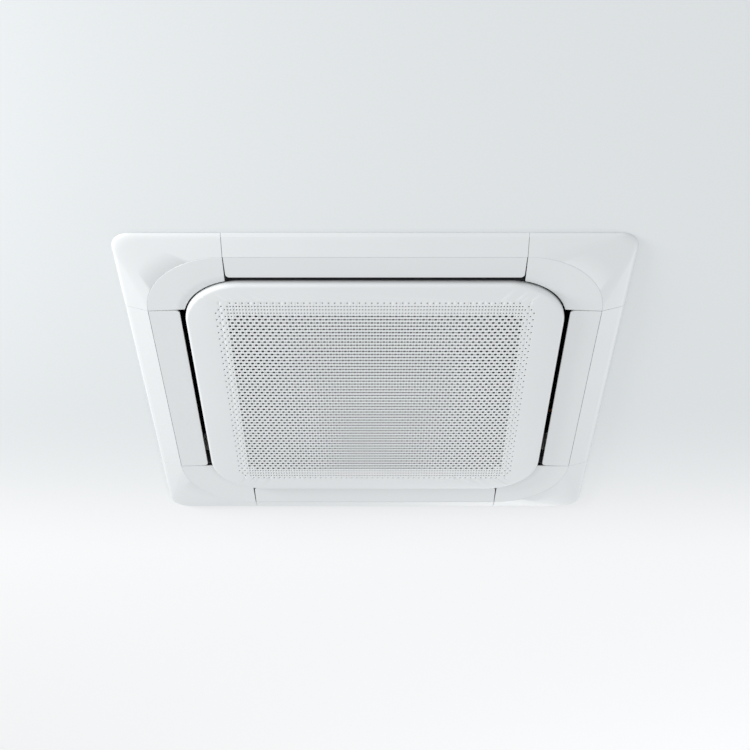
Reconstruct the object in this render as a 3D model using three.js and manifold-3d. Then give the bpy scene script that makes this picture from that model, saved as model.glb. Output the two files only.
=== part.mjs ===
// Four-way ceiling cassette air conditioner: a 950 mm decoration panel with a perforated inlet
// grille and four louvers hangs below the ceiling, and an 840 mm casing sits above it.
// Millimetres, +Z up. The origin is the middle of the panel on the underside of the ceiling.
// Every side is first drawn as the front one, which faces -Y, and then turned in quarters.

import * as THREE from 'three';
import { mergeVertices } from 'three/addons/utils/BufferGeometryUtils.js';
import Module from 'manifold-3d';

const wasm = await Module();
wasm.setup();

// Clearances
const GAP = 0.3; // between two pieces that touch
const SEAM = 0.8; // visible joint between panel pieces
const LOUVER_PLAY = 1.4; // at each end of a louver

// Panel as seen from the room. A drop is a depth below the ceiling.
const PANEL_SIDE = 950;
const PANEL_CORNER_R = 36;
const RIM_WIDTH = 45; // sloped border
const RIM_FLAT = 35.5; // its straight part, from the crease outwards
const RIM_EDGE_DROP = 8.5; // where the rounded edge starts
const CREASE_DROP = 19; // fold between the border and the louvers
const CREASE_CORNER_R = 155;
const PANEL_SKIN = 2.6;
const COVER_SIDE = 199.1; // of a corner cover along the panel's edge
const COVER_PEG = 10;
const LOUVER_WIDTH = 59;
const LOUVER_INNER_DROP = 17;
const LOUVER_EDGE = 2.4; // thickness at the long edges
const LOUVER_CROWN = 6; // thickness over the pivot
const LOUVER_CORNER_R = 9;
const SLOT = 10.5; // open slit between a louver and the grille
const CORNER_SLIT = 3; // the same slit where it passes a corner cover

// Louver pivot and drive
const PIVOT_INSET = 38; // from the crease
const PIVOT_DROP = 4;
const PIVOT_R = 3;
const PIVOT_BOSS_R = 5;
const PIVOT_ARM = 3;
const PIVOT_ARM_SETBACK = 3.6; // from the louver's end
const STEPPER_R = 10;
const STEPPER_LENGTH = 18;
const STEPPER_OFFSET = 2.5; // its shaft sits below its centre
const STEPPER_SOCKET = 8.5;

// Inlet grille
const GRILLE_CORNER_R = 112;
const GRILLE_DROP = 28;
const GRILLE_HEIGHT = 13.5;
const GRILLE_FACE = 2.5;
const GRILLE_WALL = 2.6;
const GRILLE_EDGE_R = 6.5;
const FIELD_MARGIN = 10; // of the perforated field inside the filter's edge
const HOLES_PER_ROW = 10;
const HOLE_R = 23; // half the diagonal of a hole in the field
const BAND_HOLE_R = 13; // the same in its outermost ring
const HINGE_INSET = 9.5; // grille hinge, from the grille's back edge
const HINGE_DROP = 19.5;
const HINGE_SPREAD = 199; // of each hinge lug from the middle
const HINGE_PIN_R = 2;
const HINGE_LUG_R = 4.5;
const HINGE_LUG_WIDTH = 6;
const CATCH_SPREAD = 190;
const CATCH_INSET = 24;
const CATCH_RISE = 11.5; // its plunger's end above the grille's face
const PLUNGER_R = 4.5;
const PLUNGER_LENGTH = 6.5;
const PLUNGER_TRAVEL = 3;

// Panel frame, behind the visible pieces
const PLATE = 3;
const PLATE_MARGIN = 9; // from the panel's edge to the frame's plate at the corners
const INLET_INSET = 31; // of the inlet from the outlet ducts
const INLET_CORNER_R = 60;
const INLET_LIP_DROP = 5; // of the inlet's lip below the casing
const DUCT_INSET = 7.5; // of the outlet ducts from the grille's edge
const DUCT_WIDTH = 52;
const DUCT_CORNER_R = 10;
const DUCT_SETBACK = 12.5; // of a duct's end from the louver's end
const FRAME_WALL = 2.5;
const COLLAR_DROP = 8;
const BEARING_DROP = 11;
const BEARING_REACH = 14; // to each side of the pivot
const GUSSETS = 3;
const PANEL_SCREW_R = 3;
const SCREW_SETBACK = 6; // of the panel screws from the foam's cut corners, along X and Y
const GASKET = 2.9;

// Filter
const FILTER_MARGIN = 10; // inside the inlet's edge
const FILTER_BAR = 9;
const FILTER_HEIGHT = 6;
const FILTER_CELLS = 4;
const FILTER_RIB = 3;

// Casing above the ceiling
const CASING_INSET = 55; // from the panel's edge
const CASING_HEIGHT = 246;
const CASING_LIFT = 14; // above the ceiling's underside
const CASING_FLANGE = 70; // across a corner flange, along X and Y
const SHEET = 1.2;
const BEAD = 2.5; // height of the pressed stiffening beads
const BEAD_WIDTH = 18;
const LINER = 10;
const HANGER_INSET = 30; // of the rods from the casing's sides
const HANGER_SETBACK = 50; // of the rods from the ends of the cut corners
const HANGER_RISE = 150;
const HANGER_TAB = 3;
const HANGER_SLOT = 12;
const HANGER_FOOT = 35; // above and below the tab

// Drain pan, duct ring and bell mouth
const PAN_HEIGHT = 46.5;
const PAN_FLOOR = 18.5;
const PAN_WALL = 8; // between the trough and the ducts
const PAN_CORNER_WALL = 11; // foam between a duct's end and the cut corner
const PAN_CURB = 14; // between the trough and the mouth
const PAN_LEDGE = 10; // over the edge of the bell mouth's plate
const PAN_MOUTH_R = 15;
const SUMP_R = 20;
const SUMP_DEPTH = 10;
const BELL_PLAY = 12; // between the bell mouth and the pan's ledge
const BELL_FLANGE = 3;
const BELL_FLARE = 52; // its mouth's radius less its throat's
const BELL_LIFT = 10; // above the trough's floor
const BELL_RISE = 28;
const BELL_WALL = 2.5;

// Coil
const COIL_PLAY = 10; // between the coil and the trough's outer wall
const COIL_DEPTH = 42;
const COIL_CORNER_R = 110;
const COIL_OPENING = 135; // from each end of the coil to the pipe corner
const COIL_HEADROOM = 6.7;
const FIN_RIBS = 5; // to each side of the ring
const FIN_RELIEF = 2.5;
const TUBE_SHEET = 2;
const RETURN_BENDS = 3;
const RETURN_BEND_PITCH = 25.4;
const RETURN_TUBE_R = 5;

// Fan and motor
const EYE_PLAY = 12; // between the bell mouth's throat and the fan's eye
const SHROUD_REACH = 30; // the fan's radius less its eye's
const SHROUD_HEIGHT = 32;
const SHROUD_OVERLAP = 6; // below the bell mouth's top
const FAN_BLADES = 7;
const BLADE_OVERHANG = 75; // of the blades inside the eye
const BLADE_SWEEP = 0.85; // radians that a blade trails over its length
const BLADE_RISE = 10; // above the bell mouth
const FAN_WALL = 2.5;
const FAN_PLATE_RISE = 25; // of the back plate above the motor's underside
const HUB_R = 22;
const HUB_LOW = 53; // below the motor's underside
const HUB_HIGH = 19;
const SHAFT_R = 6;
const SHAFT_LOW = 67;
const SHAFT_SOCKET = 48; // depth of the motor's bore
const NUT_HEIGHT = 10;
const MOTOR_R = 72;
const MOTOR_HEIGHT = 75;
const MOTOR_FLANGE = 18; // its flange beyond the can
const MOTOR_STANDOFF = 16;
const MOTOR_STUDS = 3;

// Pipes, drain pump and float at the back right corner
const GAS_R = 8;
const LIQUID_R = 4.8;
const FLARE_LENGTH = 24;
const PIPE_REACH = 46; // beyond the casing's side
const DRAIN_HOSE_R = 11;
const DRAIN_SPIGOT_R = 16;
const PUMP_R = 28;
const PUMP_MOTOR_R = 22;
const SUCTION_R = 9;
const SUCTION_OFFSET = 4; // from the pump's axis, along X and Y
const FLOAT_R = 9;
const FLOAT_STEM_R = 3;
const FLOAT_STOP_R = 5;
const FLOAT_HEIGHT = 14;

// Control box under the bell mouth
const BOX_LENGTH = 300;
const BOX_DEPTH = 56;
const BOX_DROP = 13.5;
const BOARD = 1.6;
const BOARD_DROP = 22; // below the box's top

// Worked out from the above
const QUARTER = Math.PI / 2;
const CORNER_STEPS = 6; // facets of a large round corner
const SMALL_STEPS = 2; // facets of a small one
const ROUND_STEPS = 24; // facets of the air inlet's round parts
const BORE_STEPS = 16; // facets of pins, shafts and their bores
const FLARE_STEPS = [0, 1 / 3, 2 / 3, 1]; // along a quarter-round flare
const PANEL_HALF = PANEL_SIDE / 2;
const CREASE_HALF = PANEL_HALF - RIM_WIDTH;
const SLOT_HALF = CREASE_HALF - LOUVER_WIDTH;
const GRILLE_HALF = SLOT_HALF - SLOT;
const COVER_START = PANEL_HALF - COVER_SIDE;
const COVER_INNER = GRILLE_HALF + CORNER_SLIT;
const STRIP_END = COVER_START - SEAM;
const LOUVER_END = COVER_START - LOUVER_PLAY;
const PIVOT_OUT = CREASE_HALF - PIVOT_INSET;
const DUCT_INNER = GRILLE_HALF - DUCT_INSET;
const DUCT_OUTER = DUCT_INNER + DUCT_WIDTH;
const DUCT_END = LOUVER_END - DUCT_SETBACK;
const COLLAR_END = LOUVER_END + 2 * LOUVER_PLAY;
const COLLAR_RISE = CASING_LIFT - 2;
const INLET_LIP = CASING_LIFT - INLET_LIP_DROP;
const INLET_HALF = DUCT_INNER - INLET_INSET;
const FILTER_HALF = INLET_HALF - FILTER_MARGIN;
const FIELD_HALF = FILTER_HALF - FIELD_MARGIN;
const CATCH_LOW = -GRILLE_DROP + GRILLE_FACE + CATCH_RISE; // end of a catch's plunger
const PAN_CORNER = DUCT_OUTER + DUCT_END + PAN_CORNER_WALL; // X plus Y along the foam's cut corner
const SCREW_PLACE = PAN_CORNER / 2 + SCREW_SETBACK; // X and Y of the panel screws
const CASING_HALF = PANEL_HALF - CASING_INSET;
const CASING_CORNER = 2 * (SCREW_PLACE + 10); // X plus Y along the casing's cut corner
const CASING_TOP = CASING_LIFT + CASING_HEIGHT;
const ROOF = CASING_TOP - BEAD; // outside of the top sheet
const LEDGE = CASING_LIFT + SHEET; // top of the casing's corner flanges
const ROD_X = CASING_HALF - HANGER_INSET;
const ROD_Y = CASING_CORNER - CASING_HALF + HANGER_SETBACK;
const PAN_BASE = LEDGE + GAP;
const PAN_TOP = PAN_BASE + PAN_HEIGHT;
const TROUGH_OUTER = DUCT_INNER - PAN_WALL;
const TROUGH_FLOOR = PAN_BASE + PAN_FLOOR;
const LINER_LOW = PAN_TOP + GAP;
const LINER_TOP = ROOF - SHEET - GAP;
const COIL_OUTER = TROUGH_OUTER - COIL_PLAY;
const COIL_INNER = COIL_OUTER - COIL_DEPTH;
const COIL_END = COIL_OUTER - COIL_OPENING;
const COIL_BASE = TROUGH_FLOOR + GAP;
const COIL_TOP = LINER_TOP - LINER - COIL_HEADROOM;
const TROUGH_INNER = COIL_INNER - PAN_CURB / 2;
const PAN_MOUTH = TROUGH_INNER - PAN_CURB;
const BELL_MOUTH_R = PAN_MOUTH - PAN_LEDGE - BELL_PLAY;
const BELL_THROAT_R = BELL_MOUTH_R - BELL_FLARE;
const BELL_BASE = TROUGH_FLOOR + BELL_LIFT;
const BELL_TOP = BELL_BASE + BELL_RISE;
const MOTOR_TOP = LINER_TOP - MOTOR_STANDOFF;
const MOTOR_BASE = MOTOR_TOP - MOTOR_HEIGHT;
const MOTOR_FLANGE_R = MOTOR_R + MOTOR_FLANGE;
const FAN_EYE_R = BELL_THROAT_R + EYE_PLAY;
const FAN_R = FAN_EYE_R + SHROUD_REACH;
const FAN_TOP = MOTOR_BASE + FAN_PLATE_RISE;
const HUB_BASE = MOTOR_BASE - HUB_LOW;
const PUMP_PLACE = SCREW_PLACE - 45; // X and Y of the pump's axis
const FLOAT_PLACE = new THREE.Vector2(COIL_OUTER - 19, COIL_END + 58);
const GAS_PLACE = new THREE.Vector2(CASING_HALF - 152, CASING_TOP - 60); // Y and Z at the casing's side
const LIQUID_PLACE = new THREE.Vector2(CASING_HALF - 176, CASING_TOP - 150);
const DRAIN_PLACE = new THREE.Vector2(CASING_HALF - 168, CASING_TOP - 75); // X and Z of the drain port
const BOX_TOP = BELL_BASE - GAP;
const BOX_FAR = PAN_MOUTH - 4;
const BOX_NEAR = BOX_FAR - BOX_DEPTH;
const BOARD_TOP = BOX_TOP - BOARD_DROP;

// Finishes
const finish = (color, roughness, metalness) => new THREE.MeshStandardMaterial({ color, roughness, metalness });
const WHITE = finish(0xe9ebeb, 0.45, 0);
const WHITE_SATIN = finish(0xe4e7e7, 0.5, 0);
const FOAM = finish(0xd9dbd6, 0.95, 0);
const DARK_FOAM = finish(0x2b2c2e, 0.95, 0);
const GALVANISED = finish(0xb6babd, 0.45, 0.9);
const ALUMINIUM = finish(0xc9ccce, 0.4, 0.9);
const COPPER = finish(0xb8744a, 0.35, 0.95);
const BRASS = finish(0xc2a15a, 0.35, 0.95);
const GREY_PLASTIC = finish(0x77797b, 0.6, 0);
const BLACK_PLASTIC = finish(0x26272a, 0.6, 0);
const BOARD_GREEN = finish(0x2d5b3f, 0.55, 0);
const STEEL = finish(0x9fa3a6, 0.35, 0.95);

// ---- Solids ----

// A closed three.js geometry as a solid that can be joined and cut, with its faces turned out.
function solid(geometry) {
  const bare = geometry.clone();
  bare.deleteAttribute('normal');
  bare.deleteAttribute('uv');
  const merged = mergeVertices(bare, 1e-3);
  const place = merged.attributes.position;
  const corner = (i) => new THREE.Vector3().fromBufferAttribute(place, i);
  const faces = [];
  let volume = 0;
  for (let i = 0; i < merged.index.count; i += 3) {
    const [a, b, c] = [0, 1, 2].map((k) => merged.index.getX(i + k));
    if (a === b || b === c || c === a) continue;
    faces.push([a, b, c]);
    volume += corner(a).dot(corner(b).cross(corner(c)));
  }
  const triVerts = new Uint32Array(faces.flatMap(([a, b, c]) => (volume < 0 ? [a, c, b] : [a, b, c])));
  const vertProperties = new Float32Array(place.array);
  return new wasm.Manifold(new wasm.Mesh({ numProp: 3, vertProperties, triVerts }));
}

function geometryOf(body) {
  const { vertProperties, triVerts } = body.getMesh();
  const geometry = new THREE.BufferGeometry();
  geometry.setAttribute('position', new THREE.BufferAttribute(vertProperties, 3));
  geometry.setIndex(new THREE.BufferAttribute(triVerts, 1));
  geometry.computeVertexNormals();
  return geometry;
}

const join = (bodies) => bodies.reduce((sum, body) => sum.add(body));
const cut = (body, tools) => tools.reduce((rest, tool) => rest.subtract(tool), body);
const turned = (body, quarters) => solid(geometryOf(body).rotateZ(quarters * QUARTER));
const allRound = (body) => [0, 1, 2, 3].map((quarters) => turned(body, quarters));

function piece(name, body, material) {
  const mesh = new THREE.Mesh(geometryOf(body), material);
  mesh.name = name;
  return mesh;
}

function box([x0, x1], [y0, y1], [z0, z1]) {
  const geometry = new THREE.BoxGeometry(x1 - x0, y1 - y0, z1 - z0);
  return solid(geometry.translate((x0 + x1) / 2, (y0 + y1) / 2, (z0 + z1) / 2));
}

// A box on the front side: along the side, outward from the middle, and in height.
const sideBox = (along, [near, far], height) => box(along, [-far, -near], height);

// A round bar from one point to another.
function rod(from, to, radius, sides = radius < 7 ? 8 : 10) {
  const start = new THREE.Vector3(...from);
  const run = new THREE.Vector3(...to).sub(start);
  const geometry = new THREE.CylinderGeometry(radius, radius, run.length(), sides);
  const turn = new THREE.Quaternion().setFromUnitVectors(new THREE.Vector3(0, 1, 0), run.clone().normalize());
  return solid(geometry.applyQuaternion(turn).translate(...start.addScaledVector(run, 0.5).toArray()));
}

function outline(points) {
  return new THREE.Shape(points.map(([x, y]) => new THREE.Vector2(x, y)));
}

// A plan outline raised from one height to another.
function slab(shape, low, high, steps = CORNER_STEPS) {
  const geometry = new THREE.ExtrudeGeometry(shape, {
    depth: high - low,
    bevelEnabled: false,
    curveSegments: steps / 2,
  });
  return solid(geometry.translate(0, 0, low));
}

// A section on the front side, drawn outward and upward, run along the side.
function alongSide(shape, start, end) {
  const geometry = new THREE.ExtrudeGeometry(shape, {
    depth: end - start,
    bevelEnabled: false,
    curveSegments: CORNER_STEPS / 2,
  });
  const outward = new THREE.Vector3(0, -1, 0);
  const up = new THREE.Vector3(0, 0, 1);
  geometry.applyMatrix4(new THREE.Matrix4().makeBasis(outward, up, new THREE.Vector3(-1, 0, 0)));
  return solid(geometry.translate(end, 0, 0));
}

// A closed section of radius and height, turned about the vertical axis.
function revolve(section, steps = 24) {
  const points = [...section, section[0]].map(([r, z]) => new THREE.Vector2(r, z));
  return solid(new THREE.LatheGeometry(points, steps).rotateX(QUARTER));
}

// A round tube along a smooth route.
function tube(route, radius, steps, sides = 8) {
  const ring = [...Array(sides).keys()].map((i) => [
    radius * Math.cos((2 * Math.PI * i) / sides),
    radius * Math.sin((2 * Math.PI * i) / sides),
  ]);
  const curve = new THREE.CatmullRomCurve3(route.map((p) => new THREE.Vector3(...p)), false, 'centripetal');
  return solid(new THREE.ExtrudeGeometry(outline(ring), { extrudePath: curve, steps, bevelEnabled: false }));
}

function roundedRectangle([x0, x1], [y0, y1], radius) {
  const shape = new THREE.Shape();
  shape.moveTo(x0 + radius, y0);
  shape.lineTo(x1 - radius, y0);
  shape.absarc(x1 - radius, y0 + radius, radius, -QUARTER, 0);
  shape.lineTo(x1, y1 - radius);
  shape.absarc(x1 - radius, y1 - radius, radius, 0, QUARTER);
  shape.lineTo(x0 + radius, y1);
  shape.absarc(x0 + radius, y1 - radius, radius, QUARTER, 2 * QUARTER);
  shape.lineTo(x0, y0 + radius);
  shape.absarc(x0 + radius, y0 + radius, radius, 2 * QUARTER, 3 * QUARTER);
  return shape;
}

const roundedSquare = (half, radius) => roundedRectangle([-half, half], [-half, half], radius);

// One level of a loft: a square with round corners.
function ring(half, radius, z) {
  const points = [];
  for (let corner = 0; corner < 4; corner += 1) {
    const middle = QUARTER * (corner + 0.5);
    const centre = (half - radius) * Math.SQRT2;
    for (let step = 0; step <= CORNER_STEPS; step += 1) {
      const angle = QUARTER * (corner + step / CORNER_STEPS);
      const x = centre * Math.cos(middle) + radius * Math.cos(angle);
      const y = centre * Math.sin(middle) + radius * Math.sin(angle);
      points.push(new THREE.Vector3(x, y, z));
    }
  }
  return points;
}

// A surface through a stack of levels. Closed, its last level joins its first; otherwise both ends are capped.
function loft(levels, closed) {
  const count = levels[0].length;
  const faces = [];
  const strips = closed ? levels.length : levels.length - 1;
  for (let level = 0; level < strips; level += 1) {
    const low = level * count;
    const high = ((level + 1) % levels.length) * count;
    for (let i = 0; i < count; i += 1) {
      const next = (i + 1) % count;
      faces.push(low + i, low + next, high + next, low + i, high + next, high + i);
    }
  }
  if (!closed) {
    const last = strips * count;
    for (let i = 1; i < count - 1; i += 1) {
      faces.push(0, i + 1, i, last, last + i, last + i + 1);
    }
  }
  const geometry = new THREE.BufferGeometry().setFromPoints(levels.flat());
  geometry.setIndex(faces);
  return solid(geometry);
}

// Square plan with the corners cut off, drawn in by an inset.
function casingPlan(inset) {
  return cutSquare(CASING_HALF - inset, CASING_CORNER - inset * Math.SQRT2);
}

// The sum is X plus Y along the cut corners.
function cutSquare(half, sum) {
  const near = sum - half;
  const corner = [[half, -near], [half, near], [near, half], [-near, half]];
  return outline([...corner, ...corner.map(([x, y]) => [-x, -y])]);
}

// ---- Panel border and corner covers ----

// The border's face from the crease to the panel's edge, as points outward and upward.
function rimFace() {
  const flatEnd = CREASE_HALF + RIM_FLAT;
  const slope = (CREASE_DROP - RIM_EDGE_DROP) / RIM_FLAT;
  const turn = (PANEL_HALF - flatEnd) * slope - RIM_EDGE_DROP;
  const edge = new THREE.QuadraticBezierCurve(
    new THREE.Vector2(flatEnd, -RIM_EDGE_DROP),
    new THREE.Vector2(PANEL_HALF, turn),
    new THREE.Vector2(PANEL_HALF, 0),
  );
  return [new THREE.Vector2(CREASE_HALF, -CREASE_DROP), ...edge.getPoints(3)];
}

// The same line drawn back from the face by the thickness of the skin.
function rimBack() {
  const face = rimFace();
  return face.map((point, i) => {
    const run = face[Math.min(i + 1, face.length - 1)].clone().sub(face[Math.max(i - 1, 0)]).normalize();
    return new THREE.Vector2(point.x - PANEL_SKIN * run.y, Math.min(point.y + PANEL_SKIN * run.x, 0));
  });
}

// The whole border as a closed loft; the inner edge is given as a list of levels.
function borderRing(innerEdge) {
  const level = ({ x, y }) => {
    const share = (x - CREASE_HALF) / RIM_WIDTH;
    return ring(x, CREASE_CORNER_R + share * (PANEL_CORNER_R - CREASE_CORNER_R), y);
  };
  return loft([...rimFace().map(level), ...rimBack().reverse().map(level), ...innerEdge], true);
}

// Corner cover for the front right corner: border, flat part up to the grille, a turned-up inner edge
// and three pegs that reach up to the frame's plate.
function cornerCover() {
  const innerR = GRILLE_CORNER_R + CORNER_SLIT;
  const back = -LOUVER_INNER_DROP + PANEL_SKIN;
  const skin = borderRing([
    ring(COVER_INNER + PANEL_SKIN, innerR + PANEL_SKIN, back),
    ring(COVER_INNER + PANEL_SKIN, innerR + PANEL_SKIN, -9),
    ring(COVER_INNER, innerR, -9),
    ring(COVER_INNER, innerR, -LOUVER_INNER_DROP),
  ]);
  const corner = box([COVER_START, PANEL_HALF + 1], [-PANEL_HALF - 1, -COVER_START], [-CREASE_DROP - 1, 1]);
  const half = COVER_PEG / 2;
  const height = [-CREASE_DROP + PANEL_SKIN + 0.8, -PLATE - GAP];
  const peg = ([x, y]) => box([x - half, x + half], [-y - half, -y + half], height);
  const far = CREASE_HALF + 8;
  const near = COVER_START + 24;
  const middle = CREASE_HALF - 30;
  return join([skin.intersect(corner), ...[[far, near], [near, far], [middle, middle]].map(peg)]);
}

// ---- Panel frame ----

// A round bar on the front louver's axis.
const pivotBar = (from, to, radius) => (
  rod([from, -PIVOT_OUT, -PIVOT_DROP], [to, -PIVOT_OUT, -PIVOT_DROP], radius, BORE_STEPS)
);

// What one side adds to the frame's plate: its strip of the border, the collar of the outlet duct
// with the louver's two bearings, and gussets behind it.
function frameSide() {
  const wall = CREASE_HALF + SEAM / 2;
  const [foot, ...back] = rimBack();
  const section = [
    new THREE.Vector2(wall, foot.y - PANEL_SKIN),
    ...rimFace().slice(1),
    ...back.reverse(),
    new THREE.Vector2(wall + FRAME_WALL, foot.y + 1),
    new THREE.Vector2(wall + FRAME_WALL, -PLATE / 2),
    new THREE.Vector2(wall, -PLATE / 2),
  ];
  const strip = alongSide(new THREE.Shape(section), -STRIP_END, STRIP_END);
  const edge = sideBox([-STRIP_END, STRIP_END], [CREASE_HALF + 10, PANEL_HALF - PANEL_SKIN / 2], [-PLATE, 0]);
  const outer = COLLAR_END + FRAME_WALL;
  const across = [DUCT_INNER - FRAME_WALL, DUCT_OUTER + FRAME_WALL];
  const collar = sideBox([-outer, outer], across, [-COLLAR_DROP, COLLAR_RISE]);
  const reach = [PIVOT_OUT - BEARING_REACH, PIVOT_OUT + BEARING_REACH];
  const bearing = (end) => sideBox(end, reach, [-BEARING_DROP, 0]);
  const bearings = [bearing([COLLAR_END, outer]), bearing([-outer, -COLLAR_END])];
  const gussets = [...Array(GUSSETS).keys()].map((i) => {
    const along = (2 * LOUVER_END * (i + 0.5)) / GUSSETS - LOUVER_END;
    const start = DUCT_OUTER + FRAME_WALL - 0.5;
    const web = outline([[start, -1], [start + 26, -1], [start + 26, 1], [start, COLLAR_RISE - 2]]);
    return alongSide(web, along - 1, along + 1);
  });
  return join([strip, edge, collar, ...bearings, ...gussets]);
}

function frameSideCuts() {
  const height = [-BEARING_DROP - 1, COLLAR_RISE + 1];
  const duct = sideBox([-COLLAR_END, COLLAR_END], [DUCT_INNER, DUCT_OUTER], height);
  const end = COLLAR_END + FRAME_WALL + 1;
  const pivot = pivotBar(-end, end, PIVOT_R + GAP);
  const start = COLLAR_END + FRAME_WALL;
  const width = STEPPER_R + 1.5;
  const along = [start, start + STEPPER_LENGTH + 2];
  const pocket = sideBox(along, [PIVOT_OUT - width, PIVOT_OUT + width], [-PLATE - 1, 1]);
  return [duct, pivot, pocket];
}

function hingeLug(x) {
  const y = GRILLE_HALF - HINGE_INSET;
  const stem = box([x, x + HINGE_LUG_WIDTH], [y - HINGE_LUG_R, y + 2], [-HINGE_DROP, -PLATE / 2]);
  const bar = (end, radius) => {
    const far = x + HINGE_LUG_WIDTH + end;
    return rod([x - end, y, -HINGE_DROP], [far, y, -HINGE_DROP], radius, BORE_STEPS);
  };
  const eye = bar(0, HINGE_LUG_R);
  const hole = bar(1, HINGE_PIN_R + GAP);
  return stem.add(eye).subtract(hole);
}

function panelFrame() {
  const half = PANEL_HALF - PLATE_MARGIN;
  const plate = slab(roundedSquare(half, PANEL_CORNER_R + PLATE_MARGIN), -PLATE, 0);
  const lip = slab(roundedSquare(INLET_HALF + FRAME_WALL, INLET_CORNER_R + FRAME_WALL), -PLATE, INLET_LIP);
  const inlet = slab(roundedSquare(INLET_HALF, INLET_CORNER_R), -PLATE - 1, INLET_LIP + 1);
  const place = SCREW_PLACE;
  const boss = rod([place, place, -1], [place, place, CASING_LIFT - GAP], 8);
  const bossHole = rod([place, place, -PLATE - 1], [place, place, CASING_LIFT], PANEL_SCREW_R + GAP);
  const sides = allRound(frameSide());
  const cuts = frameSideCuts().flatMap(allRound);
  const body = cut(join([plate, lip, ...sides, ...allRound(boss)]), [inlet, ...cuts, ...allRound(bossHole)]);
  const lugs = [hingeLug(HINGE_SPREAD - HINGE_LUG_WIDTH / 2), hingeLug(-HINGE_SPREAD - HINGE_LUG_WIDTH / 2)];
  return join([body, ...lugs]);
}

// ---- Louvers ----

// Curved blade with a thick back over its pivot, an arm and pin at each end, and round inner corners.
function louver() {
  const outer = CREASE_HALF - SEAM / 2;
  const section = new THREE.Shape();
  section.moveTo(SLOT_HALF + 0.6, -LOUVER_INNER_DROP);
  section.lineTo(outer, -CREASE_DROP);
  section.lineTo(outer, -CREASE_DROP + LOUVER_EDGE);
  const low = -LOUVER_INNER_DROP;
  section.quadraticCurveTo(PIVOT_OUT + 8, -CREASE_DROP + LOUVER_CROWN + 1.5, PIVOT_OUT, low + LOUVER_CROWN - 1);
  section.quadraticCurveTo(SLOT_HALF + 8, low + LOUVER_EDGE + 1.5, SLOT_HALF, low + LOUVER_EDGE);
  section.lineTo(SLOT_HALF, low + 0.8);
  const half = LOUVER_END;
  const blade = alongSide(section, -half, half);
  const plan = roundedRectangle([-half, half], [-outer - LOUVER_CORNER_R - 1, -SLOT_HALF], LOUVER_CORNER_R);
  const body = blade.intersect(slab(plan, -CREASE_DROP - 1, 0, 2 * SMALL_STEPS));
  const armEnd = half - PIVOT_ARM_SETBACK;
  const arm = (start, end) => {
    const foot = -LOUVER_INNER_DROP + LOUVER_CROWN - 3;
    const across = [PIVOT_OUT - PIVOT_BOSS_R, PIVOT_OUT + PIVOT_BOSS_R];
    return sideBox([start, end], across, [foot, -PIVOT_DROP]).add(pivotBar(start, end, PIVOT_BOSS_R));
  };
  const pinEnd = COLLAR_END + FRAME_WALL;
  const idlePin = pivotBar(-pinEnd + GAP, -armEnd + 1, PIVOT_R);
  const drivenPin = pivotBar(armEnd - 1, pinEnd + STEPPER_SOCKET, PIVOT_R);
  return join([body, arm(-armEnd, -armEnd + PIVOT_ARM), arm(armEnd - PIVOT_ARM, armEnd), idlePin, drivenPin]);
}

// Small stepper motor behind a louver's end, with a socket for the louver's pin and two ears.
function louverMotor() {
  const start = COLLAR_END + FRAME_WALL + GAP;
  const end = start + STEPPER_LENGTH;
  const z = STEPPER_OFFSET - PIVOT_DROP;
  const can = rod([start, -PIVOT_OUT, z], [end, -PIVOT_OUT, z], STEPPER_R);
  const ears = sideBox([start, start + 1.2], [PIVOT_OUT - STEPPER_R - 1, PIVOT_OUT + STEPPER_R + 1], [z - 3, z + 3]);
  const plug = sideBox([start + 6, end - 3], [PIVOT_OUT - 5, PIVOT_OUT + 5], [z + STEPPER_R - 2, z + STEPPER_R + 1.5]);
  return join([can, ears, plug]).subtract(pivotBar(start - 1, start + STEPPER_SOCKET, PIVOT_R + GAP));
}

// ---- Inlet grille ----

// Height of each level of the grille's rounded outer edge, as inset and height.
function grilleShell(inset, low) {
  const levels = [0, 0.5, 1].map((share) => {
    const angle = QUARTER * share;
    const drawn = inset + GRILLE_EDGE_R * (1 - Math.sin(angle));
    const z = low + GRILLE_EDGE_R * (1 - Math.cos(angle));
    return ring(GRILLE_HALF - drawn, GRILLE_CORNER_R - drawn, z);
  });
  const top = -GRILLE_DROP + GRILLE_HEIGHT + (inset > 0 ? 1 : 0);
  return loft([...levels, ring(GRILLE_HALF - inset, GRILLE_CORNER_R - inset, top)], false);
}

// Staggered diamonds over the field, smaller in the outermost ring.
function grilleHoles() {
  const pitch = (2 * FIELD_HALF) / HOLES_PER_ROW;
  const holes = [];
  for (let row = 0; row < HOLES_PER_ROW; row += 1) {
    const shift = row % 2 ? 0.25 : -0.25;
    for (let column = 0; column < HOLES_PER_ROW; column += 1) {
      const x = (column + 0.5 + shift - HOLES_PER_ROW / 2) * pitch;
      const y = (row + 0.5 - HOLES_PER_ROW / 2) * pitch;
      const rim = Math.min(row, column, HOLES_PER_ROW - 1 - row, HOLES_PER_ROW - 1 - column) === 0;
      const r = rim ? BAND_HOLE_R : HOLE_R;
      const diamond = outline([[x + r, y], [x, y + r], [x - r, y], [x, y - r]]);
      holes.push(slab(diamond, -GRILLE_DROP - 1, -GRILLE_DROP + GRILLE_FACE + 1));
    }
  }
  return holes;
}

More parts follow.
